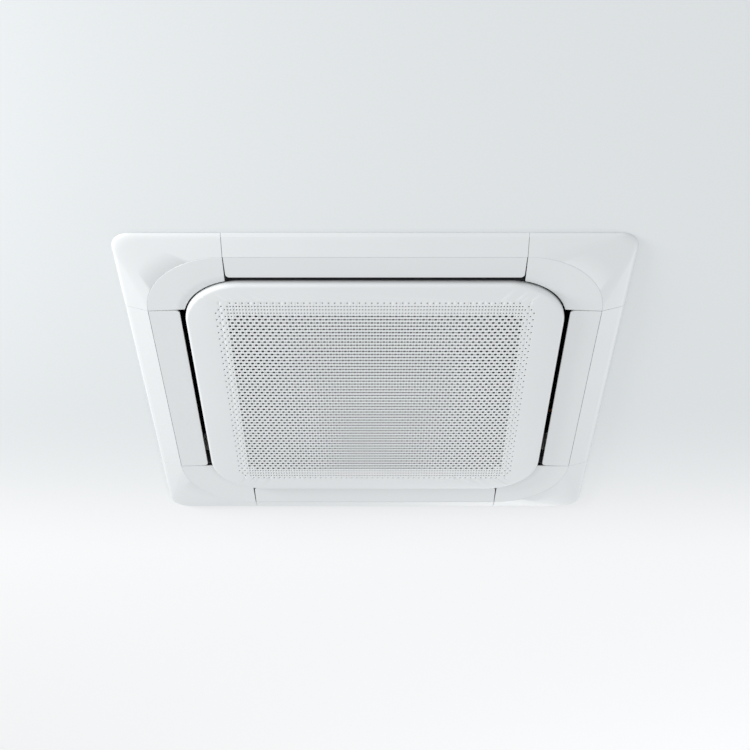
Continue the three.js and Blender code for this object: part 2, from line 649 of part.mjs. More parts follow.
function inletGrille() {
  const back = -GRILLE_DROP + GRILLE_FACE;
  const shell = grilleShell(0, -GRILLE_DROP).subtract(grilleShell(GRILLE_WALL, back));
  const face = cut(shell, [join(grilleHoles())]);
  const rail = FILTER_HALF + 1;
  const stop = FILTER_HEIGHT + 2;
  const rails = [1, -1].map((side) => {
    const across = side > 0 ? [rail, rail + 2] : [-rail - 2, -rail];
    return box(across, [-FILTER_HALF, FILTER_HALF], [back - 0.5, back + stop]);
  });
  const hingeY = GRILLE_HALF - HINGE_INSET;
  const notch = (x) => box(
    [x - HINGE_LUG_WIDTH, x + HINGE_LUG_WIDTH],
    [hingeY + HINGE_LUG_R + 1, GRILLE_HALF + 1],
    [-HINGE_DROP - HINGE_LUG_R, 0],
  );
  const hook = (x) => {
    const side = Math.sign(x);
    const near = x + side * (HINGE_LUG_WIDTH / 2 + 1);
    const far = near + side * 5;
    const across = [Math.min(near, far), Math.max(near, far)];
    const stem = box(across, [hingeY - 4, hingeY + 4], [back - 0.5, -HINGE_DROP]);
    const eye = rod([across[0], hingeY, -HINGE_DROP], [across[1], hingeY, -HINGE_DROP], 4);
    const tip = x - side * (HINGE_LUG_WIDTH / 2 + 0.6);
    return join([stem, eye, rod([tip, hingeY, -HINGE_DROP], [far, hingeY, -HINGE_DROP], HINGE_PIN_R, BORE_STEPS)]);
  };
  const striker = (x) => {
    const y = -GRILLE_HALF + CATCH_INSET;
    return box([x - 4, x + 4], [y - 4, y + 4], [back - 0.5, CATCH_LOW - GAP]);
  };
  const places = [HINGE_SPREAD, -HINGE_SPREAD];
  const body = cut(face, places.map(notch));
  return join([body, ...rails, ...places.map(hook), striker(CATCH_SPREAD), striker(-CATCH_SPREAD)]);
}

// Housing of a push catch, which holds the grille's front edge.
function grilleCatch(x) {
  const y = -GRILLE_HALF + CATCH_INSET;
  const low = CATCH_LOW + PLUNGER_TRAVEL;
  const housing = box([x - 9, x + 9], [y - 7, y + 7], [low, -PLATE - GAP]);
  const bore = rod([x, y, low - 1], [x, y, CATCH_LOW + PLUNGER_LENGTH + PLUNGER_TRAVEL + GAP], PLUNGER_R + GAP, BORE_STEPS);
  return housing.subtract(bore);
}

// Its plunger, which travels up into the housing when the grille is pressed.
function catchPlunger(x) {
  const y = -GRILLE_HALF + CATCH_INSET;
  return rod([x, y, CATCH_LOW], [x, y, CATCH_LOW + PLUNGER_LENGTH], PLUNGER_R, BORE_STEPS);
}

// Frame with cross ribs that holds the washable net.
function filterFrame() {
  const low = -GRILLE_DROP + GRILLE_FACE + GAP;
  const half = FILTER_HALF;
  const rim = slab(roundedSquare(half, 24), low, low + FILTER_HEIGHT, 2 * SMALL_STEPS);
  const inner = half - FILTER_BAR;
  const cell = (2 * inner - (FILTER_CELLS - 1) * FILTER_RIB) / FILTER_CELLS;
  const step = cell + FILTER_RIB;
  const windows = [];
  for (let row = 0; row < FILTER_CELLS; row += 1) {
    for (let column = 0; column < FILTER_CELLS; column += 1) {
      const x = -inner + column * step;
      const y = -inner + row * step;
      windows.push(box([x, x + cell], [y, y + cell], [low - 1, low + FILTER_HEIGHT + 1]));
    }
  }
  return cut(rim, windows);
}

// ---- Casing ----

// Opening for the pipes through the casing's right side, widened by a margin.
function pipeWindow(margin, reach) {
  return box(
    [CASING_HALF - reach, CASING_HALF + 5],
    [LIQUID_PLACE.x - 12 - margin, GAS_PLACE.x + 16 + margin],
    [LIQUID_PLACE.y - 14 - margin, GAS_PLACE.y + 16 + margin],
  );
}

const drainHole = (reach) => rod(
  [DRAIN_PLACE.x, CASING_HALF - reach, DRAIN_PLACE.y],
  [DRAIN_PLACE.x, CASING_HALF + 5, DRAIN_PLACE.y],
  DRAIN_SPIGOT_R + 2,
);

// The casing's eight sides, with a flange across each corner for the panel screws.
function casing() {
  const high = ROOF - SHEET - GAP;
  const shell = slab(casingPlan(0), CASING_LIFT, high).subtract(slab(casingPlan(SHEET), CASING_LIFT - 1, high + 1));
  const wall = CASING_HALF - SHEET / 2;
  const start = COLLAR_END + FRAME_WALL + 2.3;
  const inner = CASING_CORNER - CASING_FLANGE - start;
  const near = CASING_CORNER - wall - 0.5;
  const flange = slab(
    outline([[inner, start], [wall, start], [wall, near], [near, wall], [start, wall], [start, inner]]),
    CASING_LIFT,
    LEDGE,
  );
  const place = SCREW_PLACE;
  const hole = rod([place, place, CASING_LIFT - 1], [place, place, LEDGE + 1], PANEL_SCREW_R + GAP);
  return cut(join([shell, ...allRound(flange.subtract(hole))]), [pipeWindow(0, 5), drainHole(5)]);
}

// Top sheet with its pressed beads: a ring round the motor mount and four diagonal bars.
function casingTop() {
  const sheet = slab(casingPlan(0), ROOF - SHEET, ROOF);
  const inner = MOTOR_FLANGE_R + 6;
  const low = ROOF - SHEET / 2;
  const outer = inner + BEAD_WIDTH - 2;
  const round = revolve([[inner, low], [outer, low], [outer - BEAD, CASING_TOP], [inner + BEAD, CASING_TOP]], 20);
  const bar = roundedRectangle([outer + 13, CASING_HALF - 20], [-BEAD_WIDTH / 2, BEAD_WIDTH / 2], BEAD_WIDTH / 2 - 0.5);
  const diagonal = solid(geometryOf(slab(bar, low, CASING_TOP, 2 * SMALL_STEPS)).rotateZ(QUARTER / 2));
  return join([sheet, round, ...allRound(diagonal)]);
}

// Foam liner against the casing's sides and roof.
function casingLiner() {
  const skin = SHEET + GAP;
  const block = slab(casingPlan(skin), LINER_LOW, LINER_TOP);
  const hollow = slab(casingPlan(skin + LINER), LINER_LOW - 1, LINER_TOP - LINER);
  const motorHole = rod([0, 0, LINER_TOP - LINER - 1], [0, 0, LINER_TOP + 1], MOTOR_FLANGE_R + 4, ROUND_STEPS);
  return cut(block, [hollow, motorHole, pipeWindow(2, 20), drainHole(20)]);
}

// Bracket on a casing corner, with a slot for the hanger rod. The signs pick the corner.
function hangerBracket(signX, signY) {
  const sum = CASING_CORNER + GAP * Math.SQRT2;
  const right = CASING_HALF - 2;
  const back = ROD_Y + 32;
  const front = ROD_Y - 42;
  const place = (points) => outline(points.map(([x, y]) => [signX * x, signY * y]));
  const thick = 2.5 * Math.SQRT2;
  const tab = place([[sum - front, front], [right, front], [right, back], [sum - back, back]]);
  const foot = place([[sum - front, front], [sum + thick - front, front], [sum + thick - back, back], [sum - back, back]]);
  const near = ROD_Y - HANGER_SLOT / 2;
  const slotEnd = ROD_X - HANGER_SLOT / 2;
  const slot = place([[slotEnd, near], [right + 1, near], [right + 1, near + HANGER_SLOT], [slotEnd, near + HANGER_SLOT]]);
  const fold = place([[sum - back + 6, back - 2.5], [right, back - 2.5], [right, back], [sum - back + 3, back]]);
  return join([
    slab(tab, HANGER_RISE, HANGER_RISE + HANGER_TAB),
    slab(foot, HANGER_RISE - HANGER_FOOT, HANGER_RISE + HANGER_FOOT),
    slab(fold, HANGER_RISE, HANGER_RISE + 14),
  ]).subtract(slab(slot, HANGER_RISE - 1, HANGER_RISE + HANGER_TAB + 1));
}

// ---- Drain pan, duct ring and bell mouth ----

// Moulded foam tray under the coil, with a trough all round and a sump for the pump.
function drainPan() {
  const outerR = COIL_CORNER_R + 6;
  const innerR = COIL_CORNER_R - COIL_DEPTH - 6;
  const block = slab(roundedSquare(DUCT_INNER, outerR + PAN_WALL), PAN_BASE, PAN_TOP);
  const ledge = BELL_BASE + BELL_FLANGE + GAP;
  const mouth = slab(roundedSquare(PAN_MOUTH, PAN_MOUTH_R), PAN_BASE - 1, ledge, 2 * SMALL_STEPS);
  const throat = slab(roundedSquare(PAN_MOUTH - PAN_LEDGE, PAN_MOUTH_R), PAN_BASE, PAN_TOP + 1, 2 * SMALL_STEPS);
  const trough = slab(roundedSquare(TROUGH_OUTER, outerR), TROUGH_FLOOR, PAN_TOP + 1)
    .subtract(slab(roundedSquare(TROUGH_INNER, innerR), TROUGH_FLOOR - 1, PAN_TOP + 2));
  const place = PUMP_PLACE - SUCTION_OFFSET;
  const sump = rod([place, place, TROUGH_FLOOR - SUMP_DEPTH], [place, place, TROUGH_FLOOR + 1], SUMP_R);
  return cut(block, [mouth, throat, trough, sump]);
}

// Moulded foam ring round the tray, which forms the other three walls of each outlet duct.
function ductRing() {
  const block = slab(cutSquare(CASING_HALF - SHEET - GAP, PAN_CORNER), PAN_BASE, PAN_TOP);
  const radius = COIL_CORNER_R + 6 + PAN_WALL + GAP;
  const hole = slab(roundedSquare(DUCT_INNER + GAP, radius), PAN_BASE - 1, PAN_TOP + 1);
  const duct = slab(ductPlan(DUCT_INNER - 2 * DUCT_CORNER_R), PAN_BASE - 1, PAN_TOP + 1, SMALL_STEPS);
  return cut(block, [hole, ...allRound(duct)]);
}

// An outlet duct's plan, from a distance off the middle outwards.
const ductPlan = (near) => roundedRectangle([-DUCT_END, DUCT_END], [-DUCT_OUTER, -near], DUCT_CORNER_R);

// Foam seal between the panel frame's collars and the pan.
function panelGasket() {
  const out = DUCT_OUTER + FRAME_WALL + 3;
  const notch = COLLAR_END + FRAME_WALL + 1;
  const sum = PAN_CORNER - 40;
  const corner = [[out, notch], [sum - notch, notch], [notch, sum - notch], [notch, out]];
  const plan = [
    ...corner,
    ...corner.map(([x, y]) => [-x, y]).reverse(),
    ...corner.map(([x, y]) => [-x, -y]),
    ...corner.map(([x, y]) => [x, -y]).reverse(),
  ];
  const high = PAN_BASE - GAP;
  const low = high - GASKET;
  const inlet = slab(roundedSquare(INLET_HALF + FRAME_WALL + 1.5, INLET_CORNER_R + 4), low - 1, high + 1);
  const duct = slab(ductPlan(DUCT_INNER), low - 1, high + 1, SMALL_STEPS);
  return cut(slab(outline(plan), low, high), [inlet, ...allRound(duct)]);
}

function bellMouth() {
  const curve = (wall) => FLARE_STEPS.map((share) => {
    const angle = QUARTER * share;
    const reach = BELL_MOUTH_R - BELL_THROAT_R - wall;
    return [BELL_MOUTH_R - reach * Math.sin(angle), BELL_TOP - (BELL_RISE - wall) * Math.cos(angle)];
  });
  const lip = [[BELL_MOUTH_R + 3, BELL_BASE + BELL_WALL], [BELL_MOUTH_R + 3, BELL_BASE]];
  const horn = revolve([...curve(0), ...curve(BELL_WALL).reverse(), ...lip], ROUND_STEPS);
  const plan = slab(roundedSquare(PAN_MOUTH - 2, PAN_MOUTH_R - 2), BELL_BASE, BELL_BASE + BELL_FLANGE, 2 * SMALL_STEPS);
  const hole = rod([0, 0, BELL_BASE - 1], [0, 0, BELL_TOP], BELL_MOUTH_R + 1, ROUND_STEPS);
  return plan.subtract(hole).add(horn);
}

// ---- Coil ----

// Plan of the coil: a square ring open at the back right corner, its faces ribbed like fin packs.
function coilPlan() {
  const radius = COIL_CORNER_R;
  const face = (half, arc, relief) => {
    const points = [];
    const straight = half - arc;
    for (let side = 0; side < 4; side += 1) {
      const local = [];
      const start = side === 0 ? -COIL_END : -straight;
      const end = side === 3 ? COIL_END : straight;
      for (let i = 0; i < FIN_RIBS; i += 1) {
        const pitch = (end - start) / FIN_RIBS;
        const from = start + pitch * i;
        local.push([half, from], [half, from + pitch / 2], [half - relief, from + pitch / 2], [half - relief, from + pitch]);
      }
      if (side < 3) {
        for (let step = 0; step <= CORNER_STEPS; step += 1) {
          const angle = (QUARTER * step) / CORNER_STEPS;
          local.push([straight + arc * Math.cos(angle), straight + arc * Math.sin(angle)]);
        }
      }
      const turn = -QUARTER * side;
      local.forEach(([x, y]) => {
        points.push([x * Math.cos(turn) + y * Math.sin(turn), x * Math.sin(turn) - y * Math.cos(turn)]);
      });
    }
    return points;
  };
  const outside = face(COIL_OUTER, radius, FIN_RELIEF);
  const inside = face(COIL_INNER, radius - COIL_DEPTH, -FIN_RELIEF).reverse();
  return outline([...outside, ...inside]);
}

function coilFins() {
  return slab(coilPlan(), COIL_BASE, COIL_TOP);
}

// Tube sheet over one end of the coil, with its return bends.
function tubeSheet() {
  const low = COIL_END + GAP;
  const high = low + TUBE_SHEET;
  const plate = box([COIL_INNER - 2, COIL_OUTER + 2], [low, high], [PAN_TOP + 2, COIL_TOP]);
  const columns = [COIL_OUTER - COIL_DEPTH * 0.74, COIL_OUTER - COIL_DEPTH * 0.26];
  const bends = [...Array(RETURN_BENDS).keys()].map((i) => {
    const x = columns[i % 2];
    const reach = RETURN_BEND_PITCH / 2;
    const middle = COIL_TOP - (RETURN_BENDS - i) * 1.5 * RETURN_BEND_PITCH - 5;
    const leg = (side) => [[x, high - 0.6, middle + side * reach], [x, high + 3, middle + side * reach]];
    const route = [...leg(-1), [x, high + reach, middle], ...leg(1).reverse()];
    return tube(route, RETURN_TUBE_R, 6, 6);
  });
  return join([plate, ...bends]);
}

// Sheet that closes the ring across the open corner, so that air can't pass round the coil.
function coilBaffle() {
  const sum = COIL_INNER + COIL_END + 4;
  const [a, b] = [COIL_END + 6, sum - COIL_END - 6];
  const plan = outline([[a, b], [b, a], [b + 1.5, a + 1.5], [a + 1.5, b + 1.5]]);
  return slab(plan, PAN_TOP + GAP, COIL_TOP);
}

// ---- Fan and motor ----

// Air side of the shroud, from the eye to the rim, set off by a wall, as radius and height.
const shroudCurve = (wall) => FLARE_STEPS.map((share) => {
  const angle = QUARTER * share;
  return [
    FAN_EYE_R + wall * (1 - share) + SHROUD_REACH * (1 - Math.cos(angle)),
    BELL_TOP - SHROUD_OVERLAP - wall * share + SHROUD_HEIGHT * Math.sin(angle),
  ];
});

// Flared ring welded to the blades' lower edges.
const fanShroud = () => revolve([...shroudCurve(0), ...shroudCurve(FAN_WALL).reverse()]);

// Back plate, hollow hub and blades in one moulding.
function turboFan() {
  const face = [
    [HUB_R, MOTOR_BASE - 37], [MOTOR_R - 12, MOTOR_BASE - 29], [MOTOR_R + 12, MOTOR_BASE - 2],
    [MOTOR_R + 28, FAN_TOP - FAN_WALL - 3], [FAN_R, FAN_TOP - FAN_WALL],
  ];
  const back = face.map(([r, z], i) => [i > 0 && i < face.length - 1 ? r - 2 : r, z + FAN_WALL]).reverse();
  const high = MOTOR_BASE - HUB_HIGH;
  const bore = SHAFT_R + GAP;
  const hub = revolve([[bore, HUB_BASE], [HUB_R, HUB_BASE], ...face, ...back, [HUB_R, high], [bore, high]]);
  const blades = [...Array(FAN_BLADES).keys()].map((i) => fanBlade((2 * Math.PI * i) / FAN_BLADES));
  const rim = FAN_R + 9;
  const low = shroudCurve(0).map(([r, z]) => [r - GAP, z + GAP]);
  const under = revolve([[FAN_EYE_R - GAP, 0], [rim, 0], [rim, low[low.length - 1][1]], ...low.reverse()]);
  return join([hub, cut(join(blades), [under])]);
}

// Backward-curved blade, thickest in the middle.
function fanBlade(turn) {
  const inner = FAN_EYE_R - BLADE_OVERHANG;
  const reach = FAN_R - 1.5 - inner;
  const shares = [0, 0.25, 0.5, 0.75, 1];
  const edge = (side) => shares.map((share) => {
    const r = inner + reach * share;
    const half = side * (0.9 + 1.8 * share * (1 - share));
    const angle = turn - BLADE_SWEEP * share ** 0.85 + half / r;
    return [r * Math.cos(angle), r * Math.sin(angle)];
  });
  return slab(outline([...edge(-1), ...edge(1).reverse()]), BELL_TOP + BLADE_RISE, FAN_TOP - FAN_WALL / 2 - 1);
}

function fanMotor() {
  const boss = MOTOR_BASE - 10;
  const flange = MOTOR_TOP - 8;
  const body = revolve([
    [0, MOTOR_TOP], [0, boss], [HUB_R + 3, boss], [HUB_R + 3, MOTOR_BASE], [MOTOR_R - 12, MOTOR_BASE],
    [MOTOR_R, MOTOR_BASE + 12], [MOTOR_R, flange], [MOTOR_FLANGE_R, flange], [MOTOR_FLANGE_R, MOTOR_TOP],
  ]);
  return body.subtract(rod([0, 0, boss - 1], [0, 0, MOTOR_BASE + SHAFT_SOCKET], SHAFT_R + GAP, ROUND_STEPS));
}

const fanShaft = () => rod([0, 0, MOTOR_BASE - SHAFT_LOW], [0, 0, MOTOR_BASE + SHAFT_SOCKET - 2], SHAFT_R, BORE_STEPS);

function fanNut() {
  const low = HUB_BASE - NUT_HEIGHT;
  const hex = rod([0, 0, low], [0, 0, HUB_BASE - GAP], SHAFT_R + 4, 6);
  return hex.subtract(rod([0, 0, low - 1], [0, 0, HUB_BASE + 1], SHAFT_R + GAP, BORE_STEPS));
}

// Plate under the roof with the studs that carry the motor's flange.
function motorMount() {
  const plate = rod([0, 0, LINER_TOP - 2.5], [0, 0, LINER_TOP], MOTOR_FLANGE_R, ROUND_STEPS);
  const out = MOTOR_R + MOTOR_FLANGE / 2;
  const studs = [...Array(MOTOR_STUDS).keys()].map((i) => {
    const angle = (2 * Math.PI * i) / MOTOR_STUDS;
    const [x, y] = [out * Math.cos(angle), out * Math.sin(angle)];
    return rod([x, y, MOTOR_TOP + GAP], [x, y, LINER_TOP - 2], MOTOR_FLANGE / 3);
  });
  return join([plate, ...studs]);
}

// ---- Pipes, pump and float ----

const PIPE_END = CASING_HALF + PIPE_REACH;
const COIL_MIDDLE = COIL_OUTER - COIL_DEPTH / 2;
const SHEET_FACE = COIL_END + 2 * GAP + TUBE_SHEET;
const PUMP_OUTLET = PAN_TOP + 20; // height of the pump's spout
const FLOAT_REST = TROUGH_FLOOR + 7; // top of the stop that the float rests on

// A line's straight end through the casing's side.
const straightRun = (y, z) => [CASING_HALF - 50, CASING_HALF - 20, PIPE_END].map((x) => [x, y, z]);

function gasLine() {
  const [y, z] = [GAS_PLACE.x, GAS_PLACE.y];
  const high = COIL_TOP - GAS_R - 1;
  const route = [[COIL_MIDDLE, SHEET_FACE, high], [COIL_MIDDLE, SHEET_FACE + 26, high], [COIL_MIDDLE + 18, y - 6, z + 14]];
  return tube([...route, ...straightRun(y, z)], GAS_R, 14);
}

function liquidLine() {
  const [y, z] = [LIQUID_PLACE.x, LIQUID_PLACE.y];
  const low = PAN_TOP + 14;
  const route = [[COIL_MIDDLE, SHEET_FACE, low], [COIL_MIDDLE, SHEET_FACE + 16, low], [COIL_MIDDLE + 22, y - 5, z - 12]];
  return tube([...route, ...straightRun(y, z)], LIQUID_R, 14, 6);
}

// Hexagonal flare nut round the end of a line, with a round skirt towards the casing.
function flareNut(place, radius) {
  const at = (x) => [x, place.x, place.y];
  const shoulder = PIPE_END - (FLARE_LENGTH * 2) / 3;
  const hex = rod(at(shoulder), at(PIPE_END), radius + 8, 6);
  const skirt = rod(at(PIPE_END - FLARE_LENGTH), at(shoulder + 1), radius + 3.5);
  const bore = rod(at(PIPE_END - FLARE_LENGTH - 1), at(PIPE_END + 1), radius + 2 * GAP, BORE_STEPS);
  return hex.add(skirt).subtract(bore);
}

// Sheet over the pipe window, outside the casing.
function pipePlate() {
  const sheet = box([CASING_HALF + GAP, CASING_HALF + GAP + 2], [0, 2 * CASING_HALF], [0, 2 * CASING_TOP]);
  const hole = (place, radius) => rod(
    [CASING_HALF - 1, place.x, place.y],
    [CASING_HALF + 4, place.x, place.y],
    radius + 2 * GAP,
    BORE_STEPS,
  );
  return cut(sheet.intersect(pipeWindow(5, 0)), [hole(GAS_PLACE, GAS_R), hole(LIQUID_PLACE, LIQUID_R)]);
}

// Drain pump: suction tube in the sump, volute, motor and a foot on the pan's rim.
function drainPump() {
  const p = PUMP_PLACE;
  const q = p - SUCTION_OFFSET;
  const suction = rod([q, q, TROUGH_FLOOR - 4], [q, q, PAN_TOP + 8], SUCTION_R);
  const volute = rod([p, p, PAN_TOP + 6], [p, p, PAN_TOP + 32], PUMP_R, 18);
  const motor = rod([p, p, PAN_TOP + 30], [p, p, PAN_TOP + 84], PUMP_MOTOR_R, 16);
  const footShape = outline([[p - 14, p + 18], [p + 18, p - 14], [p + 36, p + 6], [p + 6, p + 36]]);
  const foot = slab(footShape, PAN_TOP + GAP, PAN_TOP + 8);
  const spout = rod([p - PUMP_R + 8, p, PUMP_OUTLET], [p - PUMP_R - 8, p, PUMP_OUTLET], SUCTION_R);
  return join([suction, volute, motor, foot, spout]);
}

function drainHose() {
  const [x, z] = [DRAIN_PLACE.x, DRAIN_PLACE.y];
  const p = PUMP_PLACE;
  const start = p - PUMP_R - 8 - GAP;
  const bend = [[start, p, PUMP_OUTLET], [start - 8, p, PUMP_OUTLET], [x - 14, p + 14, PUMP_OUTLET + 36]];
  const rise = [x - 8, p + 40, z - 12];
  return tube([...bend, rise, [x, CASING_HALF - 30, z], [x, CASING_HALF + 8, z]], DRAIN_HOSE_R, 14);
}

function drainPort() {
  const at = (y) => [DRAIN_PLACE.x, y, DRAIN_PLACE.y];
  const flange = rod(at(CASING_HALF + GAP), at(CASING_HALF + 3), DRAIN_SPIGOT_R + 9, 18);
  const spigot = rod(at(CASING_HALF + 2), at(PIPE_END), DRAIN_SPIGOT_R, 18);
  const bore = rod(at(CASING_HALF - 1), at(PIPE_END + 1), DRAIN_HOSE_R + 2 * GAP, 18);
  return flange.add(spigot).subtract(bore);
}

// Stem that guides the float, on an arm from a foot on the pan's inner wall.
function floatGuide() {
  const { x, y } = FLOAT_PLACE;
  const foot = x - 38;
  const armTop = PAN_TOP + 30;
  const post = box([foot - 4, foot + 4], [y - 5, y + 5], [PAN_TOP + GAP, armTop]);
  const arm = box([foot - 4, x + 5], [y - 4, y + 4], [armTop - 3, armTop]);
  const stem = rod([x, y, FLOAT_REST - 1], [x, y, armTop - 2], FLOAT_STEM_R);
  const stop = rod([x, y, FLOAT_REST - 3], [x, y, FLOAT_REST], FLOAT_STOP_R);
  return join([post, arm, stem, stop]);
}

function floatBody() {
  const { x, y } = FLOAT_PLACE;
  const low = FLOAT_REST + GAP;
  const body = rod([x, y, low], [x, y, low + FLOAT_HEIGHT], FLOAT_R, BORE_STEPS);
  return body.subtract(rod([x, y, low - 1], [x, y, low + FLOAT_HEIGHT + 1], FLOAT_STEM_R + GAP, BORE_STEPS));
}

// ---- Control box ----

function controlBox() {
  const half = BOX_LENGTH / 2;
  const low = -BOX_DROP + SHEET + GAP;
  const outside = sideBox([-half, half], [BOX_NEAR, BOX_FAR], [low, BOX_TOP]);
  const inside = sideBox([-half + SHEET, half - SHEET], [BOX_NEAR + SHEET, BOX_FAR - SHEET], [low - 1, BOX_TOP - SHEET]);
  const inlet = sideBox([half - 5, half + 1], [BOX_NEAR + 16, BOX_FAR - 16], [low + 14, low + 28]);
  const posts = [-half / 3, half - 22].flatMap((x) => [BOX_NEAR + 10, BOX_FAR - 10].map((out) => (
    rod([x, -out, BOARD_TOP + GAP], [x, -out, BOX_TOP - SHEET / 2], 3, 6)
  )));
  return join([outside.subtract(inside).subtract(inlet), ...posts]);
}

function controlCover() {
  const half = BOX_LENGTH / 2;
  return sideBox([-half, half], [BOX_NEAR, BOX_FAR], [-BOX_DROP, -BOX_DROP + SHEET]);
}

// Circuit board with its capacitor, relays and heat sink.
function controlBoard() {
  const half = BOX_LENGTH / 2;
  const board = sideBox([-half / 3 - 10, half - 12], [BOX_NEAR + 5, BOX_FAR - 5], [BOARD_TOP - BOARD, BOARD_TOP]);
  const under = BOARD_TOP - BOARD / 2;
  const can = -half / 3 + 20;
  const capacitor = rod([can, -BOX_NEAR - 20, under - 26], [can, -BOX_NEAR - 20, under], 9, 16);
  const relay = (i) => sideBox([22 * i, 22 * i + 16], [BOX_NEAR + 12, BOX_NEAR + 32], [under - 16, under]);
  const sink = sideBox([half - 65, half - 25], [BOX_NEAR + 14, BOX_NEAR + 38], [under - 22, under]);
  return join([board, capacitor, ...[0, 1, 2].map(relay), sink]);
}

function terminalBlock() {
  const top = BOX_TOP - SHEET - GAP;
  const start = -BOX_LENGTH / 2 + 10;
  const length = 64;
  const wall = 1.6;
  const base = sideBox([start, start + length], [BOX_NEAR + 12, BOX_FAR - 12], [top - 20, top]);
  const walls = [0, 0.25, 0.5, 0.75, 1].map((share) => {
    const x = start + share * (length - wall);
    return sideBox([x, x + wall], [BOX_NEAR + 12, BOX_FAR - 12], [top - 28, top - 19]);
  });
  return join([base, ...walls]);
}

function panelScrew() {
  const p = SCREW_PLACE;
  const high = -PLATE - GAP;
  const head = rod([p, -p, high - 4], [p, -p, high], 2 * PANEL_SCREW_R);
  const shank = rod([p, -p, high - 1], [p, -p, LEDGE + 3], PANEL_SCREW_R);
  return head.add(shank);
}

// ---- Assembly ----

const unit = new THREE.Group();

unit.add(
  piece('casing', casing(), GALVANISED),
  piece('casing_top', casingTop(), GALVANISED),
  piece('casing_liner', casingLiner(), DARK_FOAM),
  piece('hanger_bracket_front_left', hangerBracket(-1, -1), GALVANISED),
  piece('hanger_bracket_front_right', hangerBracket(1, -1), GALVANISED),
  piece('hanger_bracket_back_right', hangerBracket(1, 1), GALVANISED),
  piece('hanger_bracket_back_left', hangerBracket(-1, 1), GALVANISED),
  piece('drain_pan', drainPan(), FOAM),
  piece('duct_ring', ductRing(), FOAM),
  piece('bell_mouth', bellMouth(), BLACK_PLASTIC),
  piece('coil_fins', coilFins(), ALUMINIUM),
  piece('tube_sheet_right', tubeSheet(), COPPER),
  piece('coil_baffle', coilBaffle(), GALVANISED),
  piece('turbo_fan', turboFan(), GREY_PLASTIC),
  piece('fan_shroud', fanShroud(), GREY_PLASTIC),
  piece('fan_motor', fanMotor(), STEEL),
  piece('fan_shaft', fanShaft(), STEEL),
  piece('fan_nut', fanNut(), STEEL),
  piece('motor_mount', motorMount(), GALVANISED),
  piece('gas_line', gasLine(), COPPER),
  piece('liquid_line', liquidLine(), COPPER),
  piece('gas_flare_nut', flareNut(GAS_PLACE, GAS_R), BRASS),
  piece('liquid_flare_nut', flareNut(LIQUID_PLACE, LIQUID_R), BRASS),
  piece('pipe_plate', pipePlate(), GALVANISED),
  piece('drain_pump', drainPump(), WHITE_SATIN),
  piece('drain_hose', drainHose(), GREY_PLASTIC),
  piece('drain_port', drainPort(), WHITE_SATIN),
  piece('float_guide', floatGuide(), WHITE_SATIN),
  piece('float', floatBody(), BLACK_PLASTIC),
  piece('control_box', controlBox(), GALVANISED),
  piece('control_cover', controlCover(), GALVANISED),
  piece('control_board', controlBoard(), BOARD_GREEN),
  piece('terminal_block', terminalBlock(), BLACK_PLASTIC),
  piece('panel_gasket', panelGasket(), DARK_FOAM),
  piece('panel_frame', panelFrame(), WHITE),
  piece('inlet_grille', inletGrille(), WHITE),
  piece('grille_catch_right', grilleCatch(CATCH_SPREAD), GREY_PLASTIC),
  piece('grille_catch_left', grilleCatch(-CATCH_SPREAD), GREY_PLASTIC),
  piece('catch_plunger_right', catchPlunger(CATCH_SPREAD), WHITE_SATIN),
  piece('catch_plunger_left', catchPlunger(-CATCH_SPREAD), WHITE_SATIN),
  piece('filter_frame', filterFrame(), GREY_PLASTIC),
);

// The second tube sheet closes the coil's other end, which is the first one's mirror image.
const backSheet = geometryOf(tubeSheet()).applyMatrix4(
  new THREE.Matrix4().set(0, 1, 0, 0, 1, 0, 0, 0, 0, 0, 1, 0, 0, 0, 0, 1),
);
unit.add(piece('tube_sheet_back', solid(backSheet), COPPER));

// One louver, its motor, a corner cover and a panel screw to each side of the panel.
['front', 'right', 'back', 'left'].forEach((side, quarters) => {
  const corner = ['front_right', 'back_right', 'back_left', 'front_left'][quarters];
  const group = new THREE.Group();
  group.rotation.z = quarters * QUARTER;
  group.add(
    piece(`louver_${side}`, louver(), WHITE),
    piece(`louver_motor_${side}`, louverMotor(), STEEL),
    piece(`corner_cover_${corner}`, cornerCover(), WHITE),
    piece(`panel_screw_${corner}`, panelScrew(), STEEL),
  );
  unit.add(group);
});

export default unit;
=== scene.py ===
import math

import bmesh
import bpy
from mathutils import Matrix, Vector
from mathutils.geometry import tessellate_polygon


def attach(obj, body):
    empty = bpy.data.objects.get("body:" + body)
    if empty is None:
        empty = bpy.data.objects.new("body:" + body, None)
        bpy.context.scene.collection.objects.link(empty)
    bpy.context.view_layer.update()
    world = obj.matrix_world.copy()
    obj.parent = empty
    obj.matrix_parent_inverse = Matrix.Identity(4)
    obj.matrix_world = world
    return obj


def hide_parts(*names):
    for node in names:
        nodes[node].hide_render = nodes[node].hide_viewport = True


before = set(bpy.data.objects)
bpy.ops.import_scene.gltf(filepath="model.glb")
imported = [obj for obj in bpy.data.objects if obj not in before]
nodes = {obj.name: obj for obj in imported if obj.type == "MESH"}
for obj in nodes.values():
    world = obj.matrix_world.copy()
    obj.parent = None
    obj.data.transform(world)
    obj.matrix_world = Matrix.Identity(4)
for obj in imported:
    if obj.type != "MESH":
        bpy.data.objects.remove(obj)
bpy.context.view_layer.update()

# ---- Camera ----
# The photograph is taken from the room, square to the panel's near side and looking up at it.
# Place and lens are those that the panel's outline in the photograph gives.

camera = bpy.data.objects.new("camera", bpy.data.cameras.new("camera"))
camera.data.lens = 65.04
camera.location = (0, -2.28, -1.625)
camera.rotation_euler = (math.radians(90 + 36), 0, 0)
bpy.context.scene.collection.objects.link(camera)
bpy.context.scene.camera = camera
bpy.context.scene.view_settings.view_transform = "Standard"


